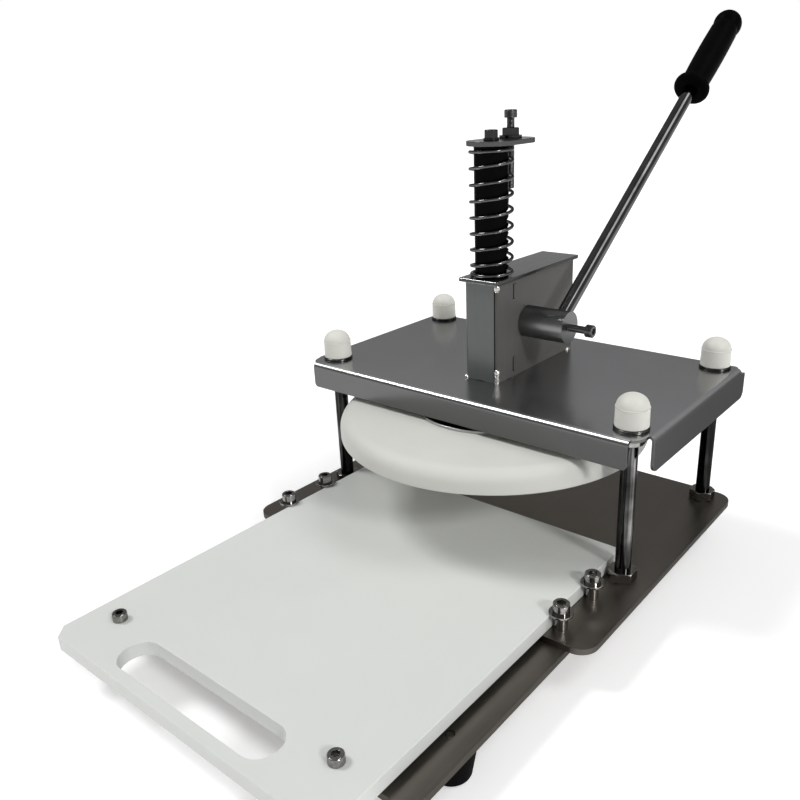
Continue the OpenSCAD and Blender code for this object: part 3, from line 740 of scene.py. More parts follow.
def modify(piece: Piece, kind: str, **settings: object) -> None:
    """Add one modifier with its settings and apply it.

    Args:
        piece: Object to change.
        kind: Modifier type.
        **settings: Values to set on the modifier.
    """
    pick(piece)
    step = piece.modifiers.new(kind.lower(), kind)
    for key, value in settings.items():
        setattr(step, key, value)
    bpy.ops.object.modifier_apply(modifier=step.name)


def smooth(piece: Piece, angle: float = 32.0) -> None:
    """Shade a piece smooth, but keep edges above an angle crisp."""
    pick(piece)
    bpy.ops.object.shade_smooth_by_angle(angle=math.radians(angle))


def soften(piece: Piece, width: float, segments: int, angle: float = 35.0) -> None:
    """Round the sharp edges of a piece and shade it smooth between them.

    Args:
        piece: Object to change.
        width: Width of the rounded edges.
        segments: Steps across each rounded edge.
        angle: Least angle in degrees at which an edge counts as sharp.
    """
    limit = math.radians(angle)
    modify(piece, "BEVEL", width=width, segments=segments, limit_method="ANGLE", angle_limit=limit)
    smooth(piece)
    modify(piece, "WEIGHTED_NORMAL", weight=50, keep_sharp=True)


def lay_sheet(name: str, width: float, depth: float, at: Sequence[float]) -> Piece:
    """Lay a flat sheet, as the start of a piece.

    Args:
        name: Name of the new piece.
        width: Length along X.
        depth: Length along Y.
        at: Its middle.

    Returns:
        The sheet, with its place in its mesh.
    """
    clear()
    bpy.ops.mesh.primitive_plane_add(size=1)
    piece = bpy.context.active_object
    piece.name = name
    piece.scale = (width, depth, 1)
    piece.location = at
    settle(piece)
    return piece


def slab(name: str, place: Place, shape: Callable[[Piece], None]) -> Piece:
    """Make a flat plate that fills a box.

    Args:
        name: Name of the new piece.
        place: Box that the plate fills.
        shape: Cuts the corners of its outline, which is open in edit mode and selected.

    Returns:
        The plate, with its place in its mesh.
    """
    piece = lay_sheet(name, place.size.x, place.size.y, place.foot)
    edit(piece)
    shape(piece)
    bpy.ops.mesh.select_all(action="SELECT")
    bpy.ops.mesh.extrude_region_move(TRANSFORM_OT_translate={"value": (0, 0, place.size.z)})
    close()
    return piece


def turned(name: str, profile: Profile, segments: int, at: Sequence[float] = (0, 0, 0)) -> Piece:
    """Turn a profile about an upright axis.

    Args:
        name: Name of the new piece.
        profile: Pairs of radius and height, from one end to the other.
        segments: Steps round the axis.
        at: Foot of the axis.

    Returns:
        The turned piece, with its place in its mesh.
    """
    piece = lay_sheet(name, MM, MM, (0, 0, 0))
    edit(piece)
    bpy.ops.mesh.merge(type="CENTER")
    bpy.ops.transform.translate(value=(profile[0][0], 0.0, profile[0][1]))
    for (r0, z0), (r1, z1) in zip(profile, profile[1:]):
        bpy.ops.mesh.extrude_region_move(TRANSFORM_OT_translate={"value": (r1 - r0, 0.0, z1 - z0)})
    bpy.ops.mesh.select_all(action="SELECT")
    bpy.ops.mesh.spin(steps=segments, angle=math.tau, center=(0, 0, 0), axis=(0, 0, 1))
    bpy.ops.mesh.select_all(action="SELECT")
    bpy.ops.mesh.remove_doubles(threshold=SAME_POINT)
    close()
    smooth(piece)
    piece.location = at
    settle(piece)
    return piece


def join(name: str, pieces: Sequence[Piece]) -> Piece:
    """Join several pieces to one.

    Args:
        name: Name of the joined piece.
        pieces: What to join.

    Returns:
        The joined piece, with its place in its mesh.
    """
    pick(*pieces)
    bpy.ops.object.join()
    whole = bpy.context.active_object
    whole.name = name
    settle(whole)
    return whole


def four_corners(name: str, profile: Profile, place: Place, radius: float) -> Piece:
    """Turn one round piece and stand a copy in each corner of a box.

    Args:
        name: Name of the joined piece.
        profile: Pairs of radius and height of one copy.
        place: Box that the four copies fill.
        radius: Outer radius of one copy.

    Returns:
        One piece that holds the four copies.
    """
    first = turned(name, profile, 64)
    made = []
    for x in (place.low.x + radius, place.high.x - radius):
        for y in (place.low.y + radius, place.high.y - radius):
            copy = first.copy()
            copy.data = first.data.copy()
            copy.location = (x, y, place.low.z)
            bpy.context.scene.collection.objects.link(copy)
            made.append(copy)
    bpy.data.objects.remove(first)
    return join(name, made)


def refined(node: str, width: float, segments: int = 2) -> Piece:
    """Make a finer copy of a CAD node, with rounded edges.

    Args:
        node: CAD node to copy.
        width: Width of the rounded edges.
        segments: Steps across each rounded edge.

    Returns:
        The copy, in the node's place.
    """
    piece = bpy.data.objects.new(node + "_fine", frame["nodes"][node].data.copy())
    bpy.context.scene.collection.objects.link(piece)
    edit(piece)
    bpy.ops.mesh.customdata_custom_splitnormals_clear()
    bpy.ops.mesh.remove_doubles(threshold=SAME_POINT)
    bpy.ops.mesh.dissolve_limited(angle_limit=math.radians(0.5))
    close()
    soften(piece, width, segments)
    return piece


def hand_over(piece: Piece, body: Body, finish: Finish, slot: str, *nodes: str) -> None:
    """Dress a finished piece and let it ride on its body.

    Args:
        piece: Finished piece.
        body: Body that it moves with.
        finish: Finish to give it.
        slot: Material slot of the record that it follows; not used.
        *nodes: CAD nodes that it stands for.
    """
    piece.data.materials.clear()
    piece.data.materials.append(finish.material())
    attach(piece, body.value)
    if nodes:
        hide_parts(*nodes)
    LOG.info("%s: %d faces on %s", piece.name, len(piece.data.polygons), body.value)


def refit(node: str, body: Body, finish: Finish, slot: str, width: float, segments: int = 2) -> None:
    """Let a finer, dressed copy stand for a CAD node; width and segments shape its edges."""
    hand_over(refined(node, width, segments), body, finish, slot, node)


def dress_node(node: str, finish: Finish) -> None:
    """Give a CAD node that stays in view its finish.

    Args:
        node: CAD node to dress.
        finish: Finish to give it.
    """
    slots = frame["nodes"][node].data.materials
    slots.clear()
    slots.append(finish.material())
    LOG.info("%s keeps its solid", node)


@dataclass
class BasePlates:
    """Base plate, the longer support plate under it and the rubber feet.

    Attributes:
        edge: Width of the rounded plate edges.
        foot_top_r: Radius of a foot at its top.
        foot_rim: Radius of a foot's upper edge.
        foot_edge: Radius of a foot's lower edge.
        foot_taper: How much narrower a foot is at the floor.
        screw_pocket: Radius and depth of the screw pocket under a foot.
    """

    edge: float = 0.5 * MM
    foot_top_r: float = 13.8 * MM
    foot_rim: float = 1.0 * MM
    foot_edge: float = 2.0 * MM
    foot_taper: float = 2.8 * MM
    screw_pocket: tuple[float, float] = (5.25 * MM, 9 * MM)

    def build(self) -> None:
        """Model and dress the plates and feet."""
        for node in ("base_plate", "support_plate"):
            refit(node, Body.FRAME, PLATE, "plate_steel", self.edge)
        self.build_feet()
        dress_node("foot_screws", PLATED)

    def build_feet(self) -> None:
        """Turn one tapered foot and set it at the four corners."""
        place = Place.of("rubber_feet")
        top, rim, edge = place.size.z, self.foot_rim, self.foot_edge
        pocket_r, pocket_h = self.screw_pocket
        profile = [(0.0, pocket_h), (pocket_r, pocket_h), (pocket_r, 0.0)]
        profile += arc(self.foot_top_r - self.foot_taper - edge, edge, edge, -90, 0)
        profile += arc(self.foot_top_r - rim, top - rim, rim, 0, 90, 4) + [(0.0, top)]
        feet = four_corners("rubber_feet_moulded", profile, place, self.foot_top_r)
        hand_over(feet, Body.FRAME, RUBBER, "foot_rubber", "rubber_feet")


@dataclass
class PostFrame:
    """Four posts with nuts and caps, carrying the folded top plate.

    Attributes:
        post_r: Radius of a post.
        post_tip: Chamfer at the ends of a post.
        washer_roll: Radius of a washer's rolled edges.
        cap_seam: Height of a cap's seam, as a share of its height.
        cap_lip: Step of a cap's seam.
        cap_draft: How much narrower a cap is at its seam.
        sheet: Sheet thickness of the top plate.
        sheet_edge: Width of the sheet's rounded edges.
        fold_r: Outer radius of the folds.
        fold_h: Height of the front and rear folds.
        shoulder: Height over which a side fold spreads to its full length.
        reliefs: Lengths left open at the front corners, along the front and along the sides.
        rear_r: Corner radius of the flat at the rear.
        side_over: How far the side folds pass the rear fold.
        lips: Radii of the lower corners of the end folds and of the side folds.
    """

    post_r: float = 5.0 * MM
    post_tip: float = 0.8 * MM
    washer_roll: float = 0.5 * MM
    cap_seam: float = 0.6
    cap_lip: float = 0.25 * MM
    cap_draft: float = 0.3 * MM
    sheet: float = 2.0 * MM
    sheet_edge: float = 0.3 * MM
    fold_r: float = 3.5 * MM
    fold_h: float = 18.5 * MM
    shoulder: float = 5.0 * MM
    reliefs: tuple[float, float] = (9.8 * MM, 15.0 * MM)
    rear_r: float = 4.5 * MM
    side_over: float = 2.0 * MM
    lips: tuple[float, float] = (3.0 * MM, 5.5 * MM)

    def build(self) -> None:
        """Model and dress the posts, their nuts and caps, and the top plate."""
        self.build_posts()
        for node in ("base_nuts", "under_base_nuts", "under_top_nuts"):
            refit(node, Body.FRAME, PLATED, "fastener_steel", FASTENER_EDGE)
        dress_node("post_top_nuts", PLATED)
        self.build_washers()
        self.build_caps()
        self.build_top_plate()

    def build_posts(self) -> None:
        """Turn one post and set it at the four corners."""
        place = Place.of("corner_posts")
        radius, height, tip = self.post_r, place.size.z, self.post_tip
        profile = [(0.0, 0.0), (radius - tip, 0.0), (radius, tip)]
        profile += [(radius, height - tip), (radius - tip, height), (0.0, height)]
        posts = four_corners("corner_posts_turned", profile, place, radius)
        # The posts get painted reflection streaks from their finish.
        hand_over(posts, Body.FRAME, BRIGHT_PAINTED_STREAKS, "bright_steel", "corner_posts")

    def outer_radius(self, node: str) -> float:
        """Radius of what sits on each post, from how far the four of them pass the posts."""
        return self.post_r + (Place.of(node).size.x - Place.of("corner_posts").size.x) / 2

    def build_washers(self) -> None:
        """Turn the washer under a cap, with rolled edges."""
        place = Place.of("cap_washers")
        radius, height, roll = self.outer_radius("cap_washers"), place.size.z, self.washer_roll
        profile = [(0.0, 0.0)] + arc(radius - roll, roll, roll, -90, 0, 4)
        profile += arc(radius - roll, height - roll, roll, 0, 90, 4) + [(0.0, height)]
        washers = four_corners("cap_washers_turned", profile, place, radius)
        hand_over(washers, Body.FRAME, GLOSS_BLACK, "fastener_steel", "cap_washers")

    def build_caps(self) -> None:
        """Turn one domed cap, with a hollow foot and a faint seam, and set it on each post."""
        place = Place.of("nut_caps")
        radius, height, lip = self.outer_radius("nut_caps"), place.size.z, self.cap_lip
        seam, seam_r = height * self.cap_seam, radius - self.cap_draft
        hollow = 0.4 * MM
        profile = [(0.0, hollow), (radius - 1.6 * MM, hollow), (radius - 1.2 * MM, 0.0)]
        profile += [(radius - 0.5 * MM, 0.0), (radius - 0.05 * MM, 0.5 * MM), (seam_r, seam - 0.4 * MM)]
        profile += [(seam_r + lip, seam - 0.2 * MM), (seam_r + lip, seam), (seam_r - lip, seam + 0.15 * MM)]
        dome_z = seam + 0.2 * MM
        for across, up in arc(0.0, 0.0, 1.0, 0, 90, 20):
            profile.append(((seam_r - lip) * across, dome_z + (height - dome_z) * up))
        profile[-1] = (0.0, height)
        caps = four_corners("nut_caps_moulded", profile, place, radius)
        hand_over(caps, Body.FRAME, CAPS, "cap_plastic", "nut_caps")

    def build_top_plate(self) -> None:
        """Fold the top plate from one sheet: flat, low end folds, deep side folds and open corners."""
        place = Place.of("top_plate")
        top = place.high.z
        front, rear = place.low.y + self.fold_r, place.high.y - self.side_over - self.fold_r
        across, along = (length - self.fold_r for length in self.reliefs)
        stretch = along / across
        depth = (rear - front) / stretch
        rear_r = self.rear_r - self.fold_r
        plate = lay_sheet("top_plate_folded", place.size.x - 2 * self.fold_r, depth, (0, 0, top))
        edit(plate)
        select_points(plate, lambda p: p.y < 0)
        cut_corners(across, 8)
        select_points(plate, lambda p: p.y > depth / 2 - NEAR)
        cut_corners(rear_r, 6)
        bpy.ops.mesh.select_all(action="SELECT")
        bpy.ops.transform.resize(value=(1, stretch, 1), center_override=(0, 0, top))
        bpy.ops.transform.translate(value=(0, (front + rear) / 2, 0))
        self.fold_walls(plate, place, place.high.y - rear + rear_r * stretch)
        close()
        modify(plate, "SOLIDIFY", thickness=self.sheet, offset=-1.0, use_even_offset=True)
        soften(plate, self.sheet_edge, 2, 50.0)
        hand_over(plate, Body.FRAME, SHEET, "sheet_steel", "top_plate")

    def fold_walls(self, plate: Piece, place: Place, reach: float) -> None:
        """Fold the four walls down from the flat's long edges and round their lower corners.

        Args:
            plate: Flat sheet, open in edit mode.
            place: Box of the whole top plate.
            reach: How far the side walls spread to the rear below their shoulder.
        """
        long_edge = 60 * MM
        top, side_h, middle = place.high.z, place.size.z, place.middle.y
        for way in (-1, 1):
            self.bend(plate, lambda a, b: abs(a.x - b.x) > long_edge and way * (a.y - middle) > 0,
                      Vector((0, way, 0)), self.fold_h)
            self.bend(plate, lambda a, b: abs(a.y - b.y) > long_edge and way * a.x > 0,
                      Vector((way, 0, 0)), self.shoulder)
        step = top - self.shoulder
        select_points(plate, lambda p: abs(p.z - step) < NEAR and p.y > middle)
        bpy.ops.transform.translate(value=(0, reach, 0))
        select_edges(plate, lambda a, b: abs(a.y - b.y) > long_edge and abs(a.z - step) < NEAR)
        bpy.ops.mesh.extrude_edges_move(TRANSFORM_OT_translate={"value": (0, 0, self.shoulder - side_h)})
        for lip, low in zip(self.lips, (top - self.fold_h, top - side_h)):
            select_points(plate, lambda p: abs(p.z - low) < NEAR)
            cut_corners(lip, 6)

    def bend(self, plate: Piece, wanted: EdgeTest, out: Vector, drop: float) -> None:
        """Bend a wall down from one edge of the flat, in small steps round the bend.

        Args:
            plate: Flat sheet, open in edit mode.
            wanted: Test that picks the edge by its two end points.
            out: Direction that the wall faces.
            drop: Height of the wall, bend included.
        """
        select_edges(plate, wanted)
        rounds = arc(0.0, 0.0, self.fold_r, 90, 0, 10)
        for (out_a, up_a), (out_b, up_b) in zip(rounds, rounds[1:]):
            move = out * (out_b - out_a) + Vector((0, 0, up_b - up_a))
            bpy.ops.mesh.extrude_edges_move(TRANSFORM_OT_translate={"value": move})
        bpy.ops.mesh.extrude_edges_move(TRANSFORM_OT_translate={"value": (0, 0, self.fold_r - drop)})


@dataclass
class GearHousing:
    """Sheet housing of the rack and pinion, with its lid, bushes and weld beads.

    Attributes:
        edge: Width of the rounded sheet edges.
        lid_edge: Width of the lid's rounded edges.
        keeper_edge: Width of the keepers' rounded edges.
        seam: Gap left open where the folded sheet meets the side plate.
        slit: Width of the slit in front of a keeper's tab.
        tab_front: Depth of a tab's front that is drawn back for the slit.
        bead: Half width and half length of a weld bead.
        ripple: Height of a weld bead's ripples.
    """

    edge: float = 0.35 * MM
    lid_edge: float = 0.5 * MM
    keeper_edge: float = 0.15 * MM
    seam: float = 0.8 * MM
    slit: float = 1.2 * MM
    tab_front: float = 0.5 * MM
    bead: tuple[float, float] = (1.8 * MM, 2.8 * MM)
    ripple: float = 0.22 * MM

    def build(self) -> None:
        """Model and dress the housing."""
        self.build_walls()
        # The side plate gets the darker copy of the sheet steel, as painted shade.
        refit("housing_side_plate", Body.FRAME, SIDE_PAINTED_SHADE, "sheet_steel", self.edge)
        refit("housing_lid", Body.FRAME, LID, "sheet_steel", self.lid_edge, 3)
        self.build_keepers()
        for node in ("ram_guide_bush", "shaft_bushes"):
            dress_node(node, BRONZE)
        self.build_beads()

    def build_walls(self) -> None:
        """Draw the ends of the folded sheet back from the side plate, so that the seam shows."""
        walls = refined("gear_housing", self.edge)
        end = Place.of("gear_housing").high.x - 1.5 * self.edge
        draw_back(walls, lambda p: p.x > end, (-self.seam, 0, 0))
        # The walls take the darker copy of the sheet steel, which paints shade on them.
        hand_over(walls, Body.FRAME, WALL_PAINTED_SHADE, "sheet_steel", "gear_housing")

    def build_keepers(self) -> None:
        """Draw the front of the keepers' tabs back, so that a thin slit shows in the side plate."""
        keepers = refined("rack_keepers", self.keeper_edge)
        front = Place.of("rack_keepers").low.y + self.tab_front
        draw_back(keepers, lambda p: p.y < front, (0, self.slit, 0))
        # The keepers get the side plate's darker copy of the sheet steel, as painted shade.
        hand_over(keepers, Body.FRAME, SIDE_PAINTED_SHADE, "plate_steel", "rack_keepers")

    def build_beads(self) -> None:
        """Set short weld beads on the seams where the sheets meet."""
        left, right = Place.of("gear_housing"), Place.of("housing_side_plate")
        front, rear, low, high = right.low.y, right.high.y, right.low.z, right.high.z
        width, length = self.bead
        upright, flat = (width, width, length), (width, length, width)
        corner = right.high.x - 0.6 * MM
        spots = (
            ((corner, front + 0.4 * MM, high - 2.6 * MM), upright),
            ((corner, front + 0.4 * MM, low + 7.4 * MM), upright),
            ((corner, front + 0.2 * MM, low + 2.4 * MM), upright),
            ((left.low.x + MM, front + 2 * MM, low + 0.4 * MM), flat),
            ((right.high.x, rear - 6 * MM, low + 0.3 * MM), flat),
        )
        beads = []
        for seed, (spot, half) in enumerate(spots, 3):
            clear()
            bpy.ops.mesh.primitive_uv_sphere_add(segments=24, ring_count=14, radius=1)
            bead = bpy.context.active_object
            bead.scale = half
            bead.location = spot
            settle(bead)
            edit(bead)
            bpy.ops.mesh.select_random(ratio=0.35, seed=seed)
            bpy.ops.transform.shrink_fatten(value=self.ripple)
            close()
            modify(bead, "SUBSURF", levels=1, render_levels=1)
            beads.append(bead)
        whole = join("weld_beads", beads)
        smooth(whole, 60.0)
        hand_over(whole, Body.FRAME, WELD, "sheet_steel")


@dataclass
class BoardGuides:
    """Sleeves, washers, screws and nuts that hold the board's edges.

    Attributes:
        edge: Width of the rounded edges.
    """

    edge: float = 0.3 * MM

    def build(self) -> None:
        """Refine and dress the guides."""
        refit("guide_sleeves", Body.FRAME, PLATED, "bright_steel", self.edge)
        for node in ("guide_washers", "guide_screws", "guide_nuts"):
            refit(node, Body.FRAME, PLATED, "fastener_steel", self.edge)


@dataclass
class LeverArm:
    """Shaft with its hub, the lever rod, its grip and the clamp screw.

    Attributes:
        hub_edge: Width of the hub's rounded edges.
        lean: Lean of the lever behind the vertical, in degrees.
        rod_r: Radius of the rod.
        rod_tip: Chamfer at the rod's far end.
        seat: How far the rod reaches past the hub's axis.
        rod_end: Distance from the hub's axis to the rod's far end.
        length: Distance from the hub's axis to the grip's tip.
        grip_len: Length of the grip, guard included.
        grip_r: Radius of the grip's body beside the guard.
        neck: How much narrower the grip is behind the guard.
        swell: How much the grip's body swells in its middle.
        taper: How much wider the grip's body is at its far end.
        guard: Radius and thickness of the guard.
        knob_r: Radius of the grip's round end.
    """

    hub_edge: float = 0.6 * MM
    lean: float = 54.0
    rod_r: float = 5.0 * MM
    rod_tip: float = 0.8 * MM
    seat: float = 7.0 * MM
    rod_end: float = 332.0 * MM
    length: float = 342.0 * MM
    grip_len: float = 96.0 * MM
    grip_r: float = 11.15 * MM
    neck: float = 0.7 * MM
    swell: float = 0.55 * MM
    taper: float = 0.35 * MM
    guard: tuple[float, float] = (14.05 * MM, 7.0 * MM)
    knob_r: float = 11.35 * MM

    def build(self) -> None:
        """Model and dress the lever."""
        refit("pinion_shaft", Body.LEVER, HUB, "hub_steel", self.hub_edge, 3)
        for node in ("pinion_gear", "pinion_key", "shaft_clip"):
            dress_node(node, HUB)
        refit("clamp_screw", Body.LEVER, CROSS_THREAD, "fastener_steel", FASTENER_EDGE)
        self.build_rod()
        self.build_grip()

    def set_along(self, piece: Piece) -> None:
        """Turn a piece made on the Z axis to lie along the lever.

        Args:
            piece: Piece to turn.
        """
        pivot = joint("lever_turn")["pos_m"]
        piece.location = (Place.of("lever_rod").middle.x, pivot[1], pivot[2])
        piece.rotation_euler = (math.radians(-self.lean), 0.0, 0.0)
        settle(piece)

    def build_rod(self) -> None:
        """Turn the rod, with a small chamfer at its far end."""
        profile = [(0.0, -self.seat), (self.rod_r, -self.seat), (self.rod_r, self.rod_end - self.rod_tip)]
        profile += [(self.rod_r - self.rod_tip, self.rod_end), (0.0, self.rod_end)]
        rod = turned("lever_rod_drawn", profile, 64)
        self.set_along(rod)
        # The rod gets painted reflection stripes along its length from its finish.
        hand_over(rod, Body.LEVER, ROD_PAINTED_STREAKS, "bright_steel", "lever_rod")

    def build_grip(self) -> None:
        """Turn the moulded grip: guard, slim swelling body, round end."""
        start, end = self.length - self.grip_len, self.length - self.knob_r
        guard_r, guard_t = self.guard
        round_r = guard_t * 0.45
        profile = [(self.rod_r, start + 0.6 * MM), (self.rod_r + 1.2 * MM, start)]
        profile += arc(guard_r - round_r, start + round_r, round_r, -90, 0)
        profile += arc(guard_r - round_r, start + guard_t - round_r, round_r, 0, 90)
        slim_r, slim_z = self.grip_r - self.neck, start + guard_t + 1.5 * MM
        profile += [(self.grip_r - 0.2 * MM, start + guard_t + 0.3 * MM), (slim_r, slim_z)]
        body = end - self.knob_r * 0.62 - slim_z
        steps = 24
        for share in (i / steps for i in range(1, steps)):
            wider = self.swell * math.sin(math.pi * share) + self.taper * share
            profile.append((slim_r + wider, slim_z + body * share))
        profile += arc(0.0, end, self.knob_r, -28, 90, 16)
        profile[-1] = (0.0, self.length)
        grip = turned("lever_grip_moulded", profile, 72)
        self.set_along(grip)
        hand_over(grip, Body.LEVER, GRIP, "grip_plastic", "lever_grip")


@dataclass
class Ram:
    """Rack bar with its cap plate and stop, the flange and the press disc.

    Attributes:
        disc_top_r: Radius of the disc's upper edge.
        disc_low_r: Radius of the disc's lower edge.
        flange_edges: Widths of the flange's lower and upper chamfers.
        bar_edge: Width of the bar's rounded edges.
        plate_edge: Width of the cap plate's rounded edges.
    """

    disc_top_r: float = 9.0 * MM
    disc_low_r: float = 1.5 * MM
    flange_edges: tuple[float, float] = (0.2 * MM, 0.15 * MM)
    bar_edge: float = 0.2 * MM
    plate_edge: float = 0.8 * MM

    def build(self) -> None:
        """Model and dress the ram."""
        self.build_disc()
        self.build_flange()
        refit("rack_bar", Body.RAM, BLACKENED, "black_steel", self.bar_edge)
        dress_node("bar_bolt", PLATED)
        refit("cap_plate", Body.RAM, CAP_STEEL, "plate_steel", self.plate_edge, 3)
        refit("flange_screws", Body.RAM, PLATED, "fastener_steel", FASTENER_EDGE)
        for node in ("cap_washer", "cap_screw", "stop_nut"):
            refit(node, Body.RAM, DARK_PLATED, "fastener_steel", FASTENER_EDGE)
        refit("stop_screw", Body.DEPTH_STOP, THREAD, "fastener_steel", FASTENER_EDGE)

    def build_disc(self) -> None:
        """Turn the plastic disc with its soft edges."""
        place = Place.of("press_disc")
        radius, height = place.size.x / 2, place.size.z
        top_r, low_r = self.disc_top_r, self.disc_low_r
        profile = [(0.0, 0.0)] + arc(radius - low_r, low_r, low_r, -90, 0, 6)
        profile += arc(radius - top_r, height - top_r, top_r, 0, 90) + [(0.0, height)]
        disc = turned("press_disc_turned", profile, 192, place.foot)
        hand_over(disc, Body.RAM, DISC, "disc_plastic", "press_disc")

    def build_flange(self) -> None:
        """Turn the black steel flange and leave its rim bare."""
        place = Place.of("press_flange")
        radius, height = place.size.x / 2, place.size.z
        low, top = self.flange_edges
        profile = [(0.0, 0.0), (radius - low, 0.0), (radius, low), (radius, height - top)]
        profile += [(radius - top, height), (0.0, height)]
        flange = turned("press_flange_turned", profile, 128, place.foot)
        hand_over(flange, Body.RAM, BLACKENED, "black_steel", "press_flange")
        flange.data.materials.append(EDGE_STEEL.material())
        for face in flange.data.polygons:
            face.material_index = 1 if abs(face.normal.z) < 0.9 else 0


@dataclass
class ReturnSpring:
    """Coil spring between the lid and the cap plate.

    Attributes:
        wire_r: Radius of the wire.
        turns: Number of turns.
        flat_turns: Turns at each end that lie flat.
        flat_pitch: Rise per flat turn.
        start: Angle of the lower end, in degrees.
        steps: Points per turn.
    """

    wire_r: float = 1.1 * MM
    turns: float = 8.9
    flat_turns: float = 0.75
    flat_pitch: float = 2.75 * MM
    start: float = 170.0
    steps: int = 40

    def rise(self, turn: float, total: float) -> float:
        """Height of the wire after a number of turns.

        Args:
            turn: Turns from the lower end.
            total: Whole rise of the wire.

        Returns:
            Height above the lower end.
        """
        flat = self.flat_turns * self.flat_pitch
        pitch = (total - 2 * flat) / (self.turns - 2 * self.flat_turns)
        if turn < self.flat_turns:
            return turn * self.flat_pitch
        if turn > self.turns - self.flat_turns:
            return total - (self.turns - turn) * self.flat_pitch
        return flat + (turn - self.flat_turns) * pitch

    def build(self) -> None:
        """Wind the wire and make it a mesh."""
        place, axis = Place.of("return_spring"), Place.of("rack_bar").middle
        radius = place.size.x / 2 - self.wire_r
        total = place.size.z - 2 * self.wire_r
        count = int(self.turns * self.steps)
        wire = bpy.data.curves.new("return_spring_wire", "CURVE")
        wire.dimensions = "3D"
        wire.bevel_depth = self.wire_r
        wire.bevel_resolution = 5
        wire.use_fill_caps = True
        spline = wire.splines.new("POLY")
        spline.points.add(count)
        for i, point in enumerate(spline.points):
            turn = self.turns * i / count
            angle = math.radians(self.start) + math.tau * turn
            height = place.low.z + self.wire_r + self.rise(turn, total)
            point.co = (axis.x + radius * math.cos(angle), axis.y + radius * math.sin(angle), height, 1)
        spring = bpy.data.objects.new("return_spring_wound", wire)
        bpy.context.scene.collection.objects.link(spring)
        pick(spring)
        bpy.ops.object.convert(target="MESH")
        smooth(spring, 60.0)
        hand_over(spring, Body.FRAME, WIRE, "spring_steel", "return_spring")
        anchor = (axis.x, axis.y, Place.of("housing_lid").high.z)
        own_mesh(spring)


@dataclass
class SlideBoard:
    """Plastic board with its handle slot and two stop screws.

    Attributes:
        chamfer: Chamfer on the front corners.
        rear_r: Radius of the rear corners.
        edge: Radius of the board's edges.
        slot: Length and width of the handle slot.
        slot_rim: Plastic left in front of the slot.
        slot_end: Radius of the slot's ends, as a share of its half width.
        past: How far the shape that cuts the slot passes the board's faces.
    """

    chamfer: float = 7.5 * MM
    rear_r: float = 4.0 * MM
    edge: float = 2.2 * MM
    slot: tuple[float, float] = (124.5 * MM, 24.0 * MM)
    slot_rim: float = 6.8 * MM
    slot_end: float = 0.999
    past: float = 5.0 * MM

    def build(self) -> None:
        """Model and dress the board."""
        board = slab("slide_board_cut", Place.of("slide_board"), self.shape_corners)
        tool = self.slot_tool()
        modify(board, "BOOLEAN", operation="DIFFERENCE", solver="EXACT", object=tool)
        bpy.data.objects.remove(tool)
        soften(board, self.edge, 5, 30.0)
        hand_over(board, Body.BOARD, BOARD, "board_plastic", "slide_board")
        refit("board_stop_screws", Body.BOARD, PLATED, "fastener_steel", FASTENER_EDGE)

    def shape_corners(self, board: Piece) -> None:
        """Chamfer the two front corners and round the two rear ones.

        Args:
            board: The board's outline, open in edit mode.
        """
        place = Place.of("slide_board")
        select_points(board, lambda p: p.y < place.middle.y)
        cut_corners(self.chamfer, 1)
        select_points(board, lambda p: p.y > place.high.y - NEAR)
        cut_corners(self.rear_r, 6)

    def slot_tool(self) -> Piece:
        """Make the shape that cuts the handle slot.

        Returns:
            A slab with round ends that reaches past both faces of the board.
        """
        place = Place.of("slide_board")
        length, width = self.slot
        front = place.low.y + self.slot_rim
        low = Vector((-length / 2, front, place.low.z - self.past))
        high = Vector((length / 2, front + width, place.high.z + self.past))
        return slab("slot_tool", Place(low, high), lambda tool: cut_corners(width / 2 * self.slot_end, 12))


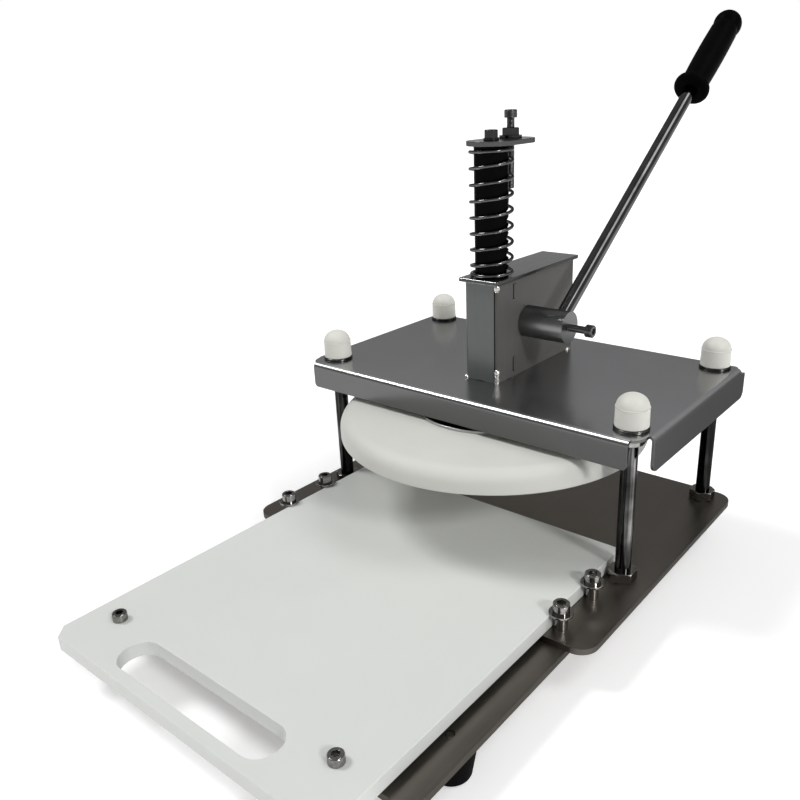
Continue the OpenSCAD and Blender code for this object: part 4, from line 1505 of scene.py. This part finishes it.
@dataclass
class Studio:
    """Floor, light and camera.

    Attributes:
        floor: Length of the floor's sides.
        ceiling: Colour of the ceiling that the metal mirrors.
        fill: Colour of the fill light that the room sheds.
        horizon: Heights between which the white walls pass into the ceiling.
        camera_at: Camera's place.
        camera_turn: Camera's turn in degrees.
        lens: Focal length, in millimetres.
        sensor: Width of the sensor, in millimetres.
        shift: Offset of the picture's centre.
    """

    floor: float = 60.0
    ceiling: Colour = (0.27, 0.27, 0.275)
    fill: Colour = grey(0.32)
    horizon: tuple[float, float] = (0.11, 0.22)
    camera_at: tuple[float, float, float] = (0.30463, -0.44774, 0.32038)
    camera_turn: tuple[float, float, float] = (68.550, 1.869, 38.654)
    lens: float = 36.08
    sensor: float = 36.0
    shift: tuple[float, float] = (-0.0398, 0.0045)

    def build(self) -> None:
        """Set up the whole studio."""
        bpy.context.scene.view_settings.view_transform = "Standard"
        self.build_floor()
        self.build_world()
        self.build_lamps()
        self.build_camera()

    def build_floor(self) -> None:
        """Lay a wide white floor that keeps the shadow."""
        floor = lay_sheet("studio_floor", self.floor, self.floor, (0, 0, 0))
        floor.data.materials.append(FloorFinish("studio_floor").material())

    def build_world(self) -> None:
        """Show a white room with a dim ceiling in the metal, and dim the fill light that it sheds."""
        world = bpy.data.worlds.new("studio_room")
        bpy.context.scene.world = world
        world.use_nodes = True
        nodes = Nodes(world.node_tree)
        where = nodes.add("ShaderNodeTexCoord").outputs["Generated"]
        height = nodes.add("ShaderNodeSeparateXYZ", {"Vector": where}).outputs["Z"]
        rays = nodes.add("ShaderNodeLightPath").outputs
        unseen = nodes.math("SUBTRACT", 1.0, rays["Is Camera Ray"])
        share = nodes.math("MULTIPLY", unseen, nodes.ramp(height, *self.horizon))
        room = nodes.blend(share, grey(1.0), self.ceiling)
        colour = nodes.blend(rays["Is Diffuse Ray"], room, self.fill)
        nodes.fill(world.node_tree.nodes["Background"].inputs, {"Color": colour, "Strength": 1.0})

    @staticmethod
    def build_lamps() -> None:
        """Hang soft lamps far off: name, direction toward it, width in degrees and strength of each."""
        lamps = (
            ("key_lamp", (-0.54, -0.23, 0.81), 18.0, 1.4),
            ("side_lamp", (0.83, -0.20, 0.52), 10.0, 1.3),
            ("top_lamp", (0.48, 0.22, 0.85), 24.0, 0.6),
        )
        for name, toward, angle, power in lamps:
            data = bpy.data.lights.new(name, "SUN")
            data.angle = math.radians(angle)
            data.energy = power
            lamp = bpy.data.objects.new(name, data)
            lamp.location = toward
            lamp.rotation_euler = (-Vector(toward)).to_track_quat("-Z", "Y").to_euler()
            bpy.context.scene.collection.objects.link(lamp)

    def build_camera(self) -> None:
        """Stand the camera where the photograph was taken from."""
        data = bpy.data.cameras.new("photo_camera")
        data.sensor_width = self.sensor
        data.lens = self.lens
        data.shift_x, data.shift_y = self.shift
        data.clip_start = 10 * MM
        camera = bpy.data.objects.new("photo_camera", data)
        camera.location = self.camera_at
        camera.rotation_euler = tuple(math.radians(a) for a in self.camera_turn)
        bpy.context.scene.collection.objects.link(camera)
        bpy.context.scene.camera = camera


def main() -> None:
    """Build every sub-assembly, then the studio."""
    logging.basicConfig(level=logging.INFO, format="%(name)s: %(message)s")
    order = (BasePlates, PostFrame, GearHousing, BoardGuides, LeverArm, Ram, ReturnSpring, SlideBoard)
    for assembly in order:
        LOG.info("building %s", assembly.__name__)
        assembly().build()
    Studio().build()


if __name__ == "__main__":
    main()
